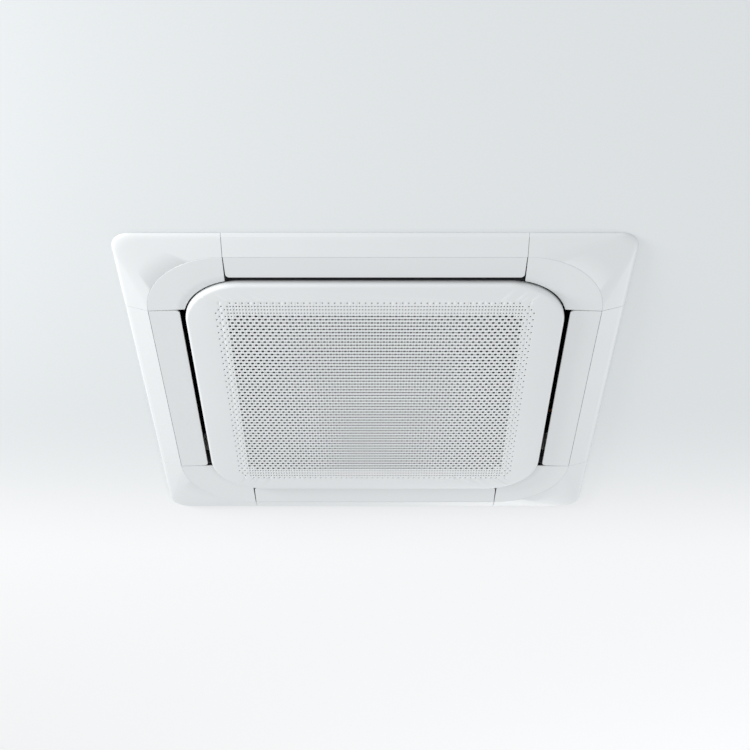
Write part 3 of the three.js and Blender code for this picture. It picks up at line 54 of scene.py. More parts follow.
# ---- Ceiling ----
# Plasterboard painted matt white, with the opening that the casing passes through. The roller leaves
# a very fine grain, and towards the far side of the room the board is painted brighter, as painted
# light. A camera above it looks through the board, so that the casing can be seen.

def hex_colour(code):
    """An sRGB hex colour as linear RGBA."""
    parts = [int(code[i:i + 2], 16) / 255 for i in (0, 2, 4)]
    return [p / 12.92 if p <= 0.04045 else ((p + 0.055) / 1.055) ** 2.4 for p in parts] + [1]


def add_node(tree, kind, settings=None, links=None):
    """A shader node with its attributes or input values set, and its inputs linked."""
    node = tree.nodes.new(kind)
    for key, value in (settings or {}).items():
        if isinstance(key, str) and hasattr(node, key):
            setattr(node, key, value)
        else:
            node.inputs[key].default_value = value
    for key, source in (links or {}).items():
        tree.links.new(source, node.inputs[key])
    return node


def new_material(name, roughness, metallic=0.0, ior=None):
    """An empty material with its shader and the object's own coordinates."""
    material = bpy.data.materials.new(name)
    material.use_nodes = True
    tree = material.node_tree
    shader = tree.nodes["Principled BSDF"]
    shader.inputs["Roughness"].default_value = roughness
    shader.inputs["Metallic"].default_value = metallic
    if ior:
        shader.inputs["IOR"].default_value = ior
    place = add_node(tree, "ShaderNodeTexCoord").outputs["Object"]
    return material, tree, shader, place


def mesh_piece(name, points, faces, material):
    """A mesh object from points in metres and faces by number."""
    mesh = bpy.data.meshes.new(name)
    mesh.from_pydata([tuple(p) for p in points], [], faces)
    mesh.materials.append(material)
    piece = bpy.data.objects.new(name, mesh)
    bpy.context.scene.collection.objects.link(piece)
    return piece


paint, tree, shader, place = new_material("matt_ceiling_paint", 0.9)
grain = add_node(tree, "ShaderNodeTexNoise", {"Scale": 220.0, "Detail": 3.0}, {"Vector": place})
tone = add_node(tree, "ShaderNodeMixRGB", {"Color1": hex_colour("E1E5E6"), "Color2": hex_colour("E5E8E9")},
                {"Fac": grain.outputs["Fac"]})
along = add_node(tree, "ShaderNodeSeparateXYZ", {}, {"Vector": place})
# Painted light: towards the far side the board's colour is blended up to near white.
far_light_share = add_node(tree, "ShaderNodeMapRange",
                 {"From Min": 0.05, "From Max": 0.75, "interpolation_type": "SMOOTHSTEP"},
                 {"Value": along.outputs["Y"]})
painted_far_light = add_node(tree, "ShaderNodeMixRGB", {"Color2": hex_colour("FEFEFE")},
                 {"Fac": far_light_share.outputs["Result"], "Color1": tone.outputs["Color"]})
tree.links.new(painted_far_light.outputs["Color"], shader.inputs["Base Color"])
seen = add_node(tree, "ShaderNodeNewGeometry")
path = add_node(tree, "ShaderNodeLightPath")
looked = add_node(tree, "ShaderNodeMath", {"operation": "MULTIPLY"},
                  {0: seen.outputs["Backfacing"], 1: path.outputs["Is Camera Ray"]})
clear = add_node(tree, "ShaderNodeBsdfTransparent")
either = add_node(tree, "ShaderNodeMixShader", {},
                  {"Fac": looked.outputs["Value"], 1: shader.outputs["BSDF"], 2: clear.outputs["BSDF"]})
tree.links.new(either.outputs["Shader"], tree.nodes["Material Output"].inputs["Surface"])

# In metres. The opening follows the panel's outline just inside its edge, and the board's face lies
# a little above the panel's back, so that the two never share a plane.
OPENING = 0.4742
OPENING_R = 0.0352
REACH = 9.0
BOARD_Z = 0.0004


def square_ring(half, radius, z, steps=20):
    """A square with round corners, as a line of points."""
    ring = []
    centre = (half - radius) * math.sqrt(2)
    for corner in range(4):
        middle = math.pi / 2 * (corner + 0.5)
        for k in range(steps + 1):
            angle = math.pi / 2 * (corner + k / steps)
            ring.append(Vector((centre * math.cos(middle) + radius * math.cos(angle),
                                centre * math.sin(middle) + radius * math.sin(angle), z)))
    return ring


board = ((REACH, REACH), (-REACH, REACH), (-REACH, -REACH), (REACH, -REACH))
edge = [Vector((x, y, BOARD_Z)) for x, y in board]
hole = square_ring(OPENING, OPENING_R, BOARD_Z)
points = edge + hole
down = []
for a, b, c in tessellate_polygon([edge, hole]):
    turned = (points[b] - points[a]).cross(points[c] - points[a]).z > 0
    down.append((a, c, b) if turned else (a, b, c))
ceiling = mesh_piece("ceiling", points, down, paint)

world = bpy.data.worlds.new("room")
bpy.context.scene.world = world
world.use_nodes = True
sky = world.node_tree.nodes["Background"]
sky.inputs["Color"].default_value = hex_colour("F7F8F9")
sky.inputs["Strength"].default_value = 0.87


def soft_lamp(name, place, target, size, power, colour):
    """A round, soft light that faces a target."""
    lamp = bpy.data.lights.new(name, "AREA")
    lamp.shape = "DISK"
    lamp.size = size
    lamp.energy = power
    lamp.color = hex_colour(colour)[:3]
    holder = bpy.data.objects.new(name, lamp)
    holder.location = place
    aim = Vector(target) - Vector(place)
    holder.rotation_euler = aim.to_track_quat("-Z", "Y").to_euler()
    bpy.context.scene.collection.objects.link(holder)


soft_lamp("window_near_left", (-2.4, -1.4, -0.42), (0, 0, 0), 0.7, 47, "FFFFFF")
soft_lamp("window_far", (0.8, 5.2, -0.8), (0, 2.5, 0), 1.2, 17, "FFFFFF")
soft_lamp("room_light_far", (4.24, 4.24, -2.6), (0, 0, 0), 1.6, 45, "FAFCFF")
soft_lamp("light_above", (-2.4, -2.8, 3.2), (0, 0, 0.1), 2.4, 40, "FFFFFF")


# ---- Panel frame and corner covers ----
# Injection-moulded white ABS. The frame carries the four straight strips of the border, and a
# cover clips over each corner with a hairline joint to the strips and the louvers. The satin skin
# spreads each highlight into a soft band.

def shade(piece, angle=30):
    """Smooth shading that keeps edges sharper than an angle."""
    piece.data.polygons.foreach_set("use_smooth", [True] * len(piece.data.polygons))
    piece.data.set_sharp_from_angle(angle=math.radians(angle))


def dress(names, material, angle=30):
    """A material for pieces that keep their own shape."""
    for name in names:
        nodes[name].material_slots[0].material = material
        shade(nodes[name], angle)


def white_plastic(name, code_a, code_b, roughness):
    """Moulded ABS: a satin skin that is very slightly uneven in tone and has a fine texture."""
    material, tree, shader, place = new_material(name, roughness, ior=1.54)
    cloud = add_node(tree, "ShaderNodeTexNoise", {"Scale": 7.0, "Detail": 2.0}, {"Vector": place})
    tone = add_node(tree, "ShaderNodeMixRGB", {"Color1": hex_colour(code_a), "Color2": hex_colour(code_b)},
                    {"Fac": cloud.outputs["Fac"]})
    tree.links.new(tone.outputs["Color"], shader.inputs["Base Color"])
    skin = add_node(tree, "ShaderNodeTexNoise", {"Scale": 900.0, "Detail": 2.0}, {"Vector": place})
    bump = add_node(tree, "ShaderNodeBump", {"Strength": 0.06, "Distance": 0.0002},
                    {"Height": skin.outputs["Fac"]})
    tree.links.new(bump.outputs["Normal"], shader.inputs["Normal"])
    return material


panel_abs = white_plastic("moulded_white_abs", "DDE0E1", "E1E3E4", 0.42)

# Inside the border the frame's colour is darkened to grey as painted shade, so that the outlets read as
# shadowed recesses. It covers what lies within this half width and above this height, in metres.
OUTLET_SHADE_HALF = 0.4285
OUTLET_SHADE_LOW = -0.0135
outlet_shade_abs = white_plastic("white_abs_with_painted_outlet_shade", "DDE0E1", "E1E3E4", 0.42)
tree = outlet_shade_abs.node_tree
place = tree.nodes["Texture Coordinate"].outputs["Object"]
split = add_node(tree, "ShaderNodeSeparateXYZ", {}, {"Vector": place})
sides = []
for axis in ("X", "Y"):
    sides.append(add_node(tree, "ShaderNodeMath", {"operation": "ABSOLUTE"}, {0: split.outputs[axis]}))
reach = add_node(tree, "ShaderNodeMath", {"operation": "MAXIMUM"},
                 {0: sides[0].outputs["Value"], 1: sides[1].outputs["Value"]})
inside = add_node(tree, "ShaderNodeMath", {"operation": "LESS_THAN", 1: OUTLET_SHADE_HALF},
                  {0: reach.outputs["Value"]})
high = add_node(tree, "ShaderNodeMath", {"operation": "GREATER_THAN", 1: OUTLET_SHADE_LOW},
                {0: split.outputs["Z"]})
painted_shade_mask = add_node(tree, "ShaderNodeMath", {"operation": "MULTIPLY"},
                 {0: inside.outputs["Value"], 1: high.outputs["Value"]})
shader = tree.nodes["Principled BSDF"]
plain = shader.inputs["Base Color"].links[0].from_socket
# Painted shade: grey inside the outlets, within the border and above the given height.
tone = add_node(tree, "ShaderNodeMixRGB", {"Color2": hex_colour("5A5D60")},
                {"Fac": painted_shade_mask.outputs["Value"], "Color1": plain})
tree.links.new(tone.outputs["Color"], shader.inputs["Base Color"])
dress(["panel_frame"], outlet_shade_abs)

# The corner covers' sizes, in millimetres.
MM = 0.001
PANEL_HALF = 475.0
PANEL_CORNER_R = 36.0
CREASE_HALF = 430.0
CREASE_R = 155.0
CREASE_DROP = 19.0
RIM_FLAT = 35.5
RIM_EDGE_DROP = 8.5
SKIN = 2.6
LIP = 1.2
COVER_START = 275.9
COVER_INNER = 363.5
COVER_INNER_R = 115.0
COVER_DROP = 17.0
COVER_TOP = -9.0
END_TAPER = 1.6

# A hairline groove runs along the crease, and the ends taper where they meet the louvers.
GROOVE_HALF = 0.6
GROOVE_DEPTH = 0.9


def corner_line(half, radius, z, steps=22):
    """A cover's outline at one height, from its cut on the near side to its cut on the right side."""
    start = COVER_START + END_TAPER * max(0.0, CREASE_HALF - half) / (CREASE_HALF - COVER_INNER)
    centre = half - radius
    arcs = steps
    points = []
    if centre > start:
        points.append((start, -half))
        low = 0.0
    else:
        low = math.asin((start - centre) / radius)
        arcs = steps + 2
    for i in range(arcs):
        angle = low + (math.pi / 2 - 2 * low) * i / (arcs - 1)
        points.append((centre + radius * math.sin(angle), -centre - radius * math.cos(angle)))
    if centre > start:
        points.append((half, -start))
    return [Vector((x, y, z)) for x, y in points]


def rim_levels():
    """The border's face from the crease to the edge at the ceiling, as half width, radius and height."""
    levels = [(CREASE_HALF, -CREASE_DROP + GROOVE_DEPTH), (CREASE_HALF + GROOVE_HALF, -CREASE_DROP + 0.1),
              (CREASE_HALF + 0.5 * RIM_FLAT, -(CREASE_DROP + RIM_EDGE_DROP) / 2)]
    start = CREASE_HALF + RIM_FLAT
    turn = (PANEL_HALF - start) * (CREASE_DROP - RIM_EDGE_DROP) / RIM_FLAT - RIM_EDGE_DROP
    for i in range(7):
        t = i / 6
        x = (1 - t) ** 2 * start + 2 * t * (1 - t) * PANEL_HALF + t * t * PANEL_HALF
        levels.append((x, (1 - t) ** 2 * -RIM_EDGE_DROP + 2 * t * (1 - t) * turn))
    border = []
    for x, z in levels:
        radius = CREASE_R + (x - CREASE_HALF) / (PANEL_HALF - CREASE_HALF) * (PANEL_CORNER_R - CREASE_R)
        border.append((x, radius, z))
    return border


def corner_cover(name, turn):
    """A cover as a thin shell, lofted through its outlines from the inner lip to the ceiling."""
    inner = [
        (COVER_INNER + SKIN, COVER_INNER_R + SKIN, COVER_TOP),
        (COVER_INNER, COVER_INNER_R, COVER_TOP),
        (COVER_INNER, COVER_INNER_R, -COVER_DROP + LIP),
        (COVER_INNER + 0.35 * LIP, COVER_INNER_R + 0.35 * LIP, -COVER_DROP + 0.35 * LIP),
        (COVER_INNER + LIP, COVER_INNER_R + LIP, -COVER_DROP),
    ]
    step = (CREASE_HALF - COVER_INNER) / 4
    flat = []
    for i in range(1, 4):
        share = i / 4
        drop = COVER_DROP + (CREASE_DROP - COVER_DROP) * share
        flat.append((COVER_INNER + i * step, COVER_INNER_R + (CREASE_R - COVER_INNER_R) * share, -drop))
    flat.append((CREASE_HALF - GROOVE_HALF, CREASE_R - GROOVE_HALF, -CREASE_DROP))
    face = inner + flat + rim_levels()
    back = [(x - 0.6 * SKIN, r, min(z + SKIN, 0.0)) for x, r, z in reversed(rim_levels()[3:])]
    back.append((CREASE_HALF, CREASE_R, -CREASE_DROP + SKIN))
    back.append((COVER_INNER + SKIN, COVER_INNER_R + SKIN, -COVER_DROP + SKIN))
    lines = [corner_line(x, r, z) for x, r, z in face + back]
    count = len(lines[0])
    points = [p * MM for line in lines for p in line]
    cos, sin = math.cos(turn), math.sin(turn)
    points = [(x * cos - y * sin, x * sin + y * cos, z) for x, y, z in points]
    faces = []
    for a in range(len(lines)):
        b = (a + 1) % len(lines)
        for i in range(count - 1):
            faces.append((a * count + i, a * count + i + 1, b * count + i + 1, b * count + i))
    near_end = [a * count for a in range(len(lines))]
    far_end = [a * count + count - 1 for a in reversed(range(len(lines)))]
    for end in (near_end, far_end):
        loop = [Vector(points[i]) for i in end]
        faces += [tuple(end[i] for i in tri) for tri in tessellate_polygon([loop])]
    piece = mesh_piece(name, points, faces, panel_abs)
    work = bmesh.new()
    work.from_mesh(piece.data)
    bmesh.ops.remove_doubles(work, verts=work.verts, dist=1e-6)
    bmesh.ops.recalc_face_normals(work, faces=work.faces)
    work.to_mesh(piece.data)
    work.free()
    edge = piece.modifiers.new("edge", "BEVEL")
    edge.width = 0.0006
    edge.segments = 2
    edge.limit_method = "ANGLE"
    edge.angle_limit = math.radians(80)
    shade(piece, 38)
    return piece


for quarter, corner in enumerate(["front_right", "back_right", "back_left", "front_left"]):
    cover = corner_cover(f"cover_{corner}", quarter * math.pi / 2)
    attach(cover, "unit")
    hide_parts(f"corner_cover_{corner}")


# ---- Louvers ----
# Four air blades of the same ABS, each on two pins. Their moulds are polished a little smoother, so
# the light runs along them as a faint sheen.

louver_abs = white_plastic("smooth_white_abs", "DCDFE0", "E0E2E3", 0.36)
for side in ["front", "right", "back", "left"]:
    blade = nodes[f"louver_{side}"]
    edge = blade.modifiers.new("edge", "BEVEL")
    edge.width = 0.0005
    edge.segments = 2
    edge.limit_method = "ANGLE"
    edge.angle_limit = math.radians(40)
dress([f"louver_{side}" for side in ["front", "right", "back", "left"]], louver_abs, 35)


# ---- Inlet grille ----
# One ABS moulding whose face is pierced by several thousand fine holes, with a band of smaller ones
# round the field. It hangs on two hooks at the back and carries the filter between two rails.
# All sizes are in millimetres.

GRILLE_HALF = 360.5
GRILLE_R = 112.0
GRILLE_DROP = 28.0
GRILLE_EDGE = 6.5
GRILLE_TOP = -14.5
GRILLE_WALL = 1.0
HOLE_PITCH_X = 5.775
HOLE_PITCH_Y = 10.0
COLUMNS = 52
ROWS = 31
DENSE = (279.0, 274.0)
DENSE_R = 26.0
FIELD_R = 34.0
CELL_LEAN = 0.35

# Radii of the large holes, of the small ones between them and of those in the band. Towards the
# middle of the face the first two draw nearer to one size.
MAIN_HOLE = 3.25
MID_HOLE = 1.3
BAND_HOLE = 1.7
MAIN_INNER = 2.9
MID_INNER = 2.2
GRADE_START = 60.0
GRADE_END = 220.0


def within(x, y, half_x, half_y, radius):
    """Whether a point lies in a rectangle with round corners."""
    dx = max(abs(x) - half_x + radius, 0)
    dy = max(abs(y) - half_y + radius, 0)
    return abs(x) <= half_x and abs(y) <= half_y and math.hypot(dx, dy) <= radius


def hole_radius(i, j):
    """The radius of the hole in a cell, or 0 where the cell has none."""
    x, y = i * HOLE_PITCH_X, j * HOLE_PITCH_Y
    main = (i + j) % 2 == 0
    if within(x, y, DENSE[0] + 1, DENSE[1] + 1, DENSE_R):
        outward = min(max((abs(x) - GRADE_START) / (GRADE_END - GRADE_START), 0), 1)
        small, large = (MAIN_INNER, MAIN_HOLE) if main else (MID_INNER, MID_HOLE)
        return small + (large - small) * outward
    if within(x, y, COLUMNS * HOLE_PITCH_X + 1, ROWS * HOLE_PITCH_Y + 1, FIELD_R):
        band_x = abs(x) > DENSE[0]
        top_row = abs(j) == ROWS
        return BAND_HOLE if main or not (band_x or top_row) else 0
    return 0


points = []
faces = []
known = {}


def spot(x, y):
    """The number of the face's point at a place, which neighbouring cells share."""
    key = (round(x, 3), round(y, 3))
    if key not in known:
        known[key] = len(points)
        points.append(Vector((x, y, -GRILLE_DROP)))
    return known[key]


half_x, half_y = HOLE_PITCH_X / 2, HOLE_PITCH_Y / 2
for j in range(-ROWS, ROWS + 1):
    for i in range(-COLUMNS, COLUMNS + 1):
        x, y = i * HOLE_PITCH_X, j * HOLE_PITCH_Y
        lean = CELL_LEAN if (i + j) % 2 == 0 else -CELL_LEAN
        east = x + half_x + (lean if i < COLUMNS else 0)
        west = x - half_x - (lean if i > -COLUMNS else 0)
        rim = [
            spot(east, y), spot(x + half_x, y + half_y), spot(x, y + half_y), spot(x - half_x, y + half_y),
            spot(west, y), spot(x - half_x, y - half_y), spot(x, y - half_y), spot(x + half_x, y - half_y),
        ]
        radius = hole_radius(i, j)
        if radius == 0:
            faces.append(tuple(reversed(rim)))
            continue
        first = len(points)
        for k in range(8):
            angle = math.pi / 4 * k
            hole_x = x + radius * math.cos(angle)
            hole_y = y + radius * math.sin(angle)
            points.append(Vector((hole_x, hole_y, -GRILLE_DROP)))
        for k in range(8):
            n = (k + 1) % 8
            faces.append((rim[k], first + k, first + n, rim[n]))

# The plain margin round the field, then the rounded edge and the side wall.
field_x = COLUMNS * HOLE_PITCH_X + half_x
field_y = ROWS * HOLE_PITCH_Y + half_y
inner = []
for i in range(-COLUMNS, COLUMNS + 1):
    x = i * HOLE_PITCH_X
    inner += [(x - half_x, -field_y), (x, -field_y)]
for j in range(-ROWS, ROWS + 1):
    y = j * HOLE_PITCH_Y
    inner += [(field_x, y - half_y), (field_x, y)]
for i in range(COLUMNS, -COLUMNS - 1, -1):
    x = i * HOLE_PITCH_X
    inner += [(x + half_x, field_y), (x, field_y)]
for j in range(ROWS, -ROWS - 1, -1):
    y = j * HOLE_PITCH_Y
    inner += [(-field_x, y + half_y), (-field_x, y)]
inner_ids = [spot(x, y) for x, y in inner]
shell = []
for k in range(7):
    angle = math.pi / 2 * (1 - k / 6)
    drawn = GRILLE_EDGE - GRILLE_EDGE * math.cos(angle)
    lift = GRILLE_EDGE - GRILLE_EDGE * math.sin(angle)
    shell.append(square_ring(GRILLE_HALF - drawn, GRILLE_R - drawn, -GRILLE_DROP + lift))
shell.append(square_ring(GRILLE_HALF, GRILLE_R, GRILLE_TOP))
first = len(points)
count = len(shell[0])
for line in shell:
    points += line
outer_ids = list(range(first, first + count))


def bearing(i):
    """A point's direction from the middle of the face."""
    return math.atan2(points[i].y, points[i].x) % (2 * math.pi)


def zip_loops(outer, inner):
    """Triangles between two loops of points round the centre."""
    outer, inner = sorted(set(outer), key=bearing), sorted(set(inner), key=bearing)
    n, m = len(outer), len(inner)
    i = j = 0
    between = []
    while i + j < n + m:
        outer_next = bearing(outer[(i + 1) % n]) + 2 * math.pi * ((i + 1) // n)
        inner_next = bearing(inner[(j + 1) % m]) + 2 * math.pi * ((j + 1) // m)
        if j == m or (i < n and outer_next < inner_next):
            between.append((outer[i % n], outer[(i + 1) % n], inner[j % m]))
            i += 1
        else:
            between.append((outer[i % n], inner[(j + 1) % m], inner[j % m]))
            j += 1
    return between


faces += zip_loops(outer_ids, inner_ids)
for a in range(len(shell) - 1):
    low = first + a * count
    high = low + count
    for i in range(count):
        n = (i + 1) % count
        faces.append((low + i, high + i, high + n, low + n))
grille = mesh_piece("grille_moulding", [p * MM for p in points], faces, panel_abs)
work = bmesh.new()
work.from_mesh(grille.data)
work.normal_update()
for face in work.faces:
    middle = face.calc_center_median()
    outward = Vector((middle.x, middle.y, 0)).normalized() - Vector((0, 0, 1))
    if face.normal.dot(outward) < 0:
        face.normal_flip()

# The back wall is notched for the two lugs that its hooks turn on.
HOOK_PLACE = 199.0
NOTCH_HALF = 6.0
NOTCH_LOW = -24.0
WALL_START = GRILLE_HALF - GRILLE_EDGE + 0.4


def back_wall():
    """The faces of the wall along the back edge."""
    return [face for face in work.faces if face.calc_center_median().y > WALL_START * MM]


cuts = []
for hook in (-HOOK_PLACE, HOOK_PLACE):
    for x in (hook - NOTCH_HALF, hook + NOTCH_HALF):
        cuts.append(((x * MM, 0, 0), (1, 0, 0)))
cuts.append(((0, 0, NOTCH_LOW * MM), (0, 0, 1)))
for point, normal in cuts:
    wall_faces = back_wall()
    wall_edges = list({edge for face in wall_faces for edge in face.edges})
    wall_points = list({vert for face in wall_faces for vert in face.verts})
    bmesh.ops.bisect_plane(work, geom=wall_faces + wall_edges + wall_points, plane_co=point, plane_no=normal)
notched = []
for face in back_wall():
    middle = face.calc_center_median() / MM
    if abs(abs(middle.x) - HOOK_PLACE) < NOTCH_HALF and middle.z > NOTCH_LOW:
        notched.append(face)
bmesh.ops.delete(work, geom=notched, context="FACES")
work.to_mesh(grille.data)
work.free()
wall = grille.modifiers.new("wall", "SOLIDIFY")
wall.thickness = GRILLE_WALL * MM
wall.offset = -1
shade(grille, 40)
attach(grille, "grille")
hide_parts("inlet_grille")


def block(work, low, high):
    """A box with its edges slightly rounded."""
    made = bmesh.ops.create_cube(work, size=1)["verts"]
    for vert in made:
        vert.co = [(a + b) / 2 + (b - a) * c for a, b, c in zip(low, high, vert.co)]
    edges = list({edge for vert in made for edge in vert.link_edges})
    bmesh.ops.bevel(work, geom=edges, offset=0.3, segments=2, affect="EDGES", profile=0.5)


def bar(work, start, end, radius, sides=24):
    """A round bar with chamfered ends."""
    start, end = Vector(start), Vector(end)
    run = end - start
    turn = run.to_track_quat("Z", "Y").to_matrix()
    chamfer = min(0.4, radius / 4)
    stations = [
        (0, radius - chamfer),
        (chamfer, radius),
        (run.length - chamfer, radius),
        (run.length, radius - chamfer),
    ]
    rings = []
    for along, r in stations:
        ring = []
        for k in range(sides):
            angle = 2 * math.pi * k / sides
            point = Vector((r * math.cos(angle), r * math.sin(angle), along))
            ring.append(work.verts.new(start + turn @ point))
        rings.append(ring)
    for low, high in zip(rings, rings[1:]):
        for k in range(sides):
            n = (k + 1) % sides
            work.faces.new((low[k], low[n], high[n], high[k]))
    work.faces.new(reversed(rings[0]))
    work.faces.new(rings[-1])


def finish_piece(name, work, material, body):
    """The piece drawn so far, scaled from millimetres and made to ride on its body."""
    mesh = bpy.data.meshes.new(name)
    for vert in work.verts:
        vert.co *= MM
    bmesh.ops.recalc_face_normals(work, faces=work.faces)
    work.to_mesh(mesh)
    work.free()
    mesh.materials.append(material)
    piece = bpy.data.objects.new(name, mesh)
    bpy.context.scene.collection.objects.link(piece)
    shade(piece, 35)
    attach(piece, body)
    return piece


# On the back of the face, on each side: a rail for the filter, a hook (an upright with a round eye
# and a pin through it) and the post that the push catch holds.
FACE_BACK = -GRILLE_DROP + GRILLE_WALL - 0.2
RAIL_NEAR = 313
RAIL_FAR = 315
RAIL_HALF = 312
RAIL_TOP = -17.5
HOOK_NEAR = 203
HOOK_FAR = 208
HOOK_FRONT = 347
HOOK_BACK = 355
HINGE_Y = 351
HINGE_Z = -19.5
EYE_R = 4
PIN_R = 2
PIN_END = 195.4
POST_X = 190
POST_HALF = 4
POST_FRONT = -340.5
POST_BACK = -332.5
POST_TOP = -14.3
fittings = bmesh.new()
for side in (1, -1):
    left, right = sorted((side * RAIL_NEAR, side * RAIL_FAR))
    block(fittings, (left, -RAIL_HALF, FACE_BACK), (right, RAIL_HALF, RAIL_TOP))
    left, right = sorted((side * HOOK_NEAR, side * HOOK_FAR))
    block(fittings, (left, HOOK_FRONT, FACE_BACK), (right, HOOK_BACK, HINGE_Z))
    bar(fittings, (side * HOOK_NEAR, HINGE_Y, HINGE_Z), (side * HOOK_FAR, HINGE_Y, HINGE_Z), EYE_R)
    bar(fittings, (side * PIN_END, HINGE_Y, HINGE_Z), (side * HOOK_FAR, HINGE_Y, HINGE_Z), PIN_R)
    left, right = side * POST_X - POST_HALF, side * POST_X + POST_HALF
    block(fittings, (left, POST_FRONT, FACE_BACK), (right, POST_BACK, POST_TOP))
finish_piece("grille_fittings", fittings, panel_abs, "grille")


# ---- Filter ----
# A washable fine mesh of moulded polypropylene in a dark frame, which lies in the grille. Its
# strands are a little lighter than the gaps between them, so it looks like dark gauze.

MESH_PITCH = 0.0016
NET_HALF = 303.0
NET_TOP = -22.0
net_plastic, tree, shader, place = new_material("moulded_filter_mesh", 0.7)
split = add_node(tree, "ShaderNodeSeparateXYZ", {}, {"Vector": place})
threads = []
for axis in ("X", "Y"):
    wave = add_node(tree, "ShaderNodeMath", {"operation": "MULTIPLY", 1: 2 * math.pi / MESH_PITCH},
                    {0: split.outputs[axis]})
    threads.append(add_node(tree, "ShaderNodeMath", {"operation": "SINE"}, {0: wave.outputs["Value"]}))
strands = add_node(tree, "ShaderNodeMath", {"operation": "MAXIMUM"},
                 {0: threads[0].outputs["Value"], 1: threads[1].outputs["Value"]})
tone = add_node(tree, "ShaderNodeMixRGB", {"Color1": hex_colour("0E0F10"), "Color2": hex_colour("2E3032")},
                {"Fac": strands.outputs["Value"]})
tree.links.new(tone.outputs["Color"], shader.inputs["Base Color"])
cells = 24
row = cells + 1
grid = []
for j in range(row):
    for i in range(row):
        x = -NET_HALF + 2 * NET_HALF * i / cells
        y = -NET_HALF + 2 * NET_HALF * j / cells
        grid.append(Vector((x, y, NET_TOP)) * MM)
quads = []
for j in range(cells):
    for i in range(cells):
        corner = j * row + i
        quads.append((corner, corner + 1, corner + row + 1, corner + row))
net = mesh_piece("filter_net", grid, quads, net_plastic)
cloth = net.modifiers.new("thread", "SOLIDIFY")
cloth.thickness = 0.0006
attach(net, "grille")


def plain_plastic(name, code_a, code_b, roughness, scale=60.0):
    """A plain moulded plastic: matt, with faint flow marks that break up the light."""
    material, tree, shader, place = new_material(name, roughness, ior=1.49)
    flow = add_node(tree, "ShaderNodeTexNoise", {"Scale": scale, "Detail": 4.0}, {"Vector": place})
    tone = add_node(tree, "ShaderNodeMixRGB", {"Color1": hex_colour(code_a), "Color2": hex_colour(code_b)},
                    {"Fac": flow.outputs["Fac"]})
    tree.links.new(tone.outputs["Color"], shader.inputs["Base Color"])
    bump = add_node(tree, "ShaderNodeBump", {"Strength": 0.1, "Distance": 0.0003},
                    {"Height": flow.outputs["Fac"]})
    tree.links.new(bump.outputs["Normal"], shader.inputs["Normal"])
    return material


dress(["filter_frame"], plain_plastic("dark_polypropylene", "232527", "2B2D2F", 0.6))
dress(["grille_catch_right", "grille_catch_left"], plain_plastic("grey_acetal", "6F7274", "787B7D", 0.5))


# ---- Casing and brackets ----
# Folded galvanised steel sheet. The zinc shows as faint spangle, a few millimetres across, whose
# crystals each take the light a little differently.

zinc, tree, shader, place = new_material("galvanised_steel", 0.42, metallic=0.85)
spangle = add_node(tree, "ShaderNodeTexVoronoi", {"Scale": 130.0}, {"Vector": place})
grey = add_node(tree, "ShaderNodeSeparateColor", {}, {"Color": spangle.outputs["Color"]})
tone = add_node(tree, "ShaderNodeMixRGB", {"Color1": hex_colour("A9AEB2"), "Color2": hex_colour("C3C8CB")},
                {"Fac": grey.outputs["Red"]})
tree.links.new(tone.outputs["Color"], shader.inputs["Base Color"])
rough = add_node(tree, "ShaderNodeMapRange", {"To Min": 0.34, "To Max": 0.5},
                 {"Value": grey.outputs["Green"]})
tree.links.new(rough.outputs["Result"], shader.inputs["Roughness"])
dress(["casing", "casing_top", "motor_mount", "pipe_plate", "coil_baffle", "control_box", "control_cover"]
      + [f"hanger_bracket_{c}" for c in ("front_left", "front_right", "back_right", "back_left")], zinc)

# Zinc-plated screws hold the sheets together and show as small bright points.
plated, tree, shader, place = new_material("zinc_plated_screws", 0.3, metallic=1.0)
cloud = add_node(tree, "ShaderNodeTexNoise", {"Scale": 500.0, "Detail": 2.0}, {"Vector": place})
tone = add_node(tree, "ShaderNodeMixRGB", {"Color1": hex_colour("9FA3A6"), "Color2": hex_colour("BFC3C6")},
                {"Fac": cloud.outputs["Fac"]})
tree.links.new(tone.outputs["Color"], shader.inputs["Base Color"])


def pan_head(work, place, out):
    """A pan-head screw with a cross recess, its head standing out along a direction."""
    out = Vector(out)
    turn = out.to_track_quat("Z", "Y").to_matrix()
    place = Vector(place)
    profile = [(4.0, 0.0), (3.9, 0.9), (3.2, 1.7), (2.0, 2.1), (0.9, 2.15)]
    rings = []
    for r, z in profile:
        ring = []
        for k in range(16):
            angle = math.pi / 8 * k
            deep = 1.1 if r < 2.5 and k % 4 == 0 else 0.0
            point = Vector((r * math.cos(angle), r * math.sin(angle), z - deep))
            ring.append(work.verts.new(place + turn @ point))
        rings.append(ring)
    for low, high in zip(rings, rings[1:]):
        for k in range(16):
            n = (k + 1) % 16
            work.faces.new((low[k], low[n], high[n], high[k]))
    centre = work.verts.new(place + turn @ Vector((0, 0, 1.0)))
    for k in range(16):
        work.faces.new((rings[-1][k], rings[-1][(k + 1) % 16], centre))
    work.faces.new(reversed(rings[0]))


# Where the screws sit, in millimetres: along each side, on the top sheet's edge and at the corners.
CASING_HALF = 420
CASING_TOP = 257.5
SIDE_SCREWS = (-270, -90, 90, 270)
TOP_SCREWS = (-225, 0, 225)
TOP_INSET = 12
SCREW_HEIGHT = 248
CORNER_FACE = 355
screws = bmesh.new()
for quarter in range(4):
    turn = quarter * math.pi / 2
    cos, sin = math.cos(turn), math.sin(turn)
    spots = [((x, -CASING_HALF, SCREW_HEIGHT), (0, -1, 0)) for x in SIDE_SCREWS]
    spots += [((x, -CASING_HALF + TOP_INSET, CASING_TOP), (0, 0, 1)) for x in TOP_SCREWS]
    spots += [((CORNER_FACE, -CORNER_FACE, SCREW_HEIGHT), (1, -1, 0))]
    for (x, y, z), (u, v, w) in spots:
        seat = (x * cos - y * sin, x * sin + y * cos, z)
        axis = (u * cos - v * sin, u * sin + v * cos, w)
        pan_head(screws, seat, axis)
finish_piece("casing_screws", screws, plated, "unit")


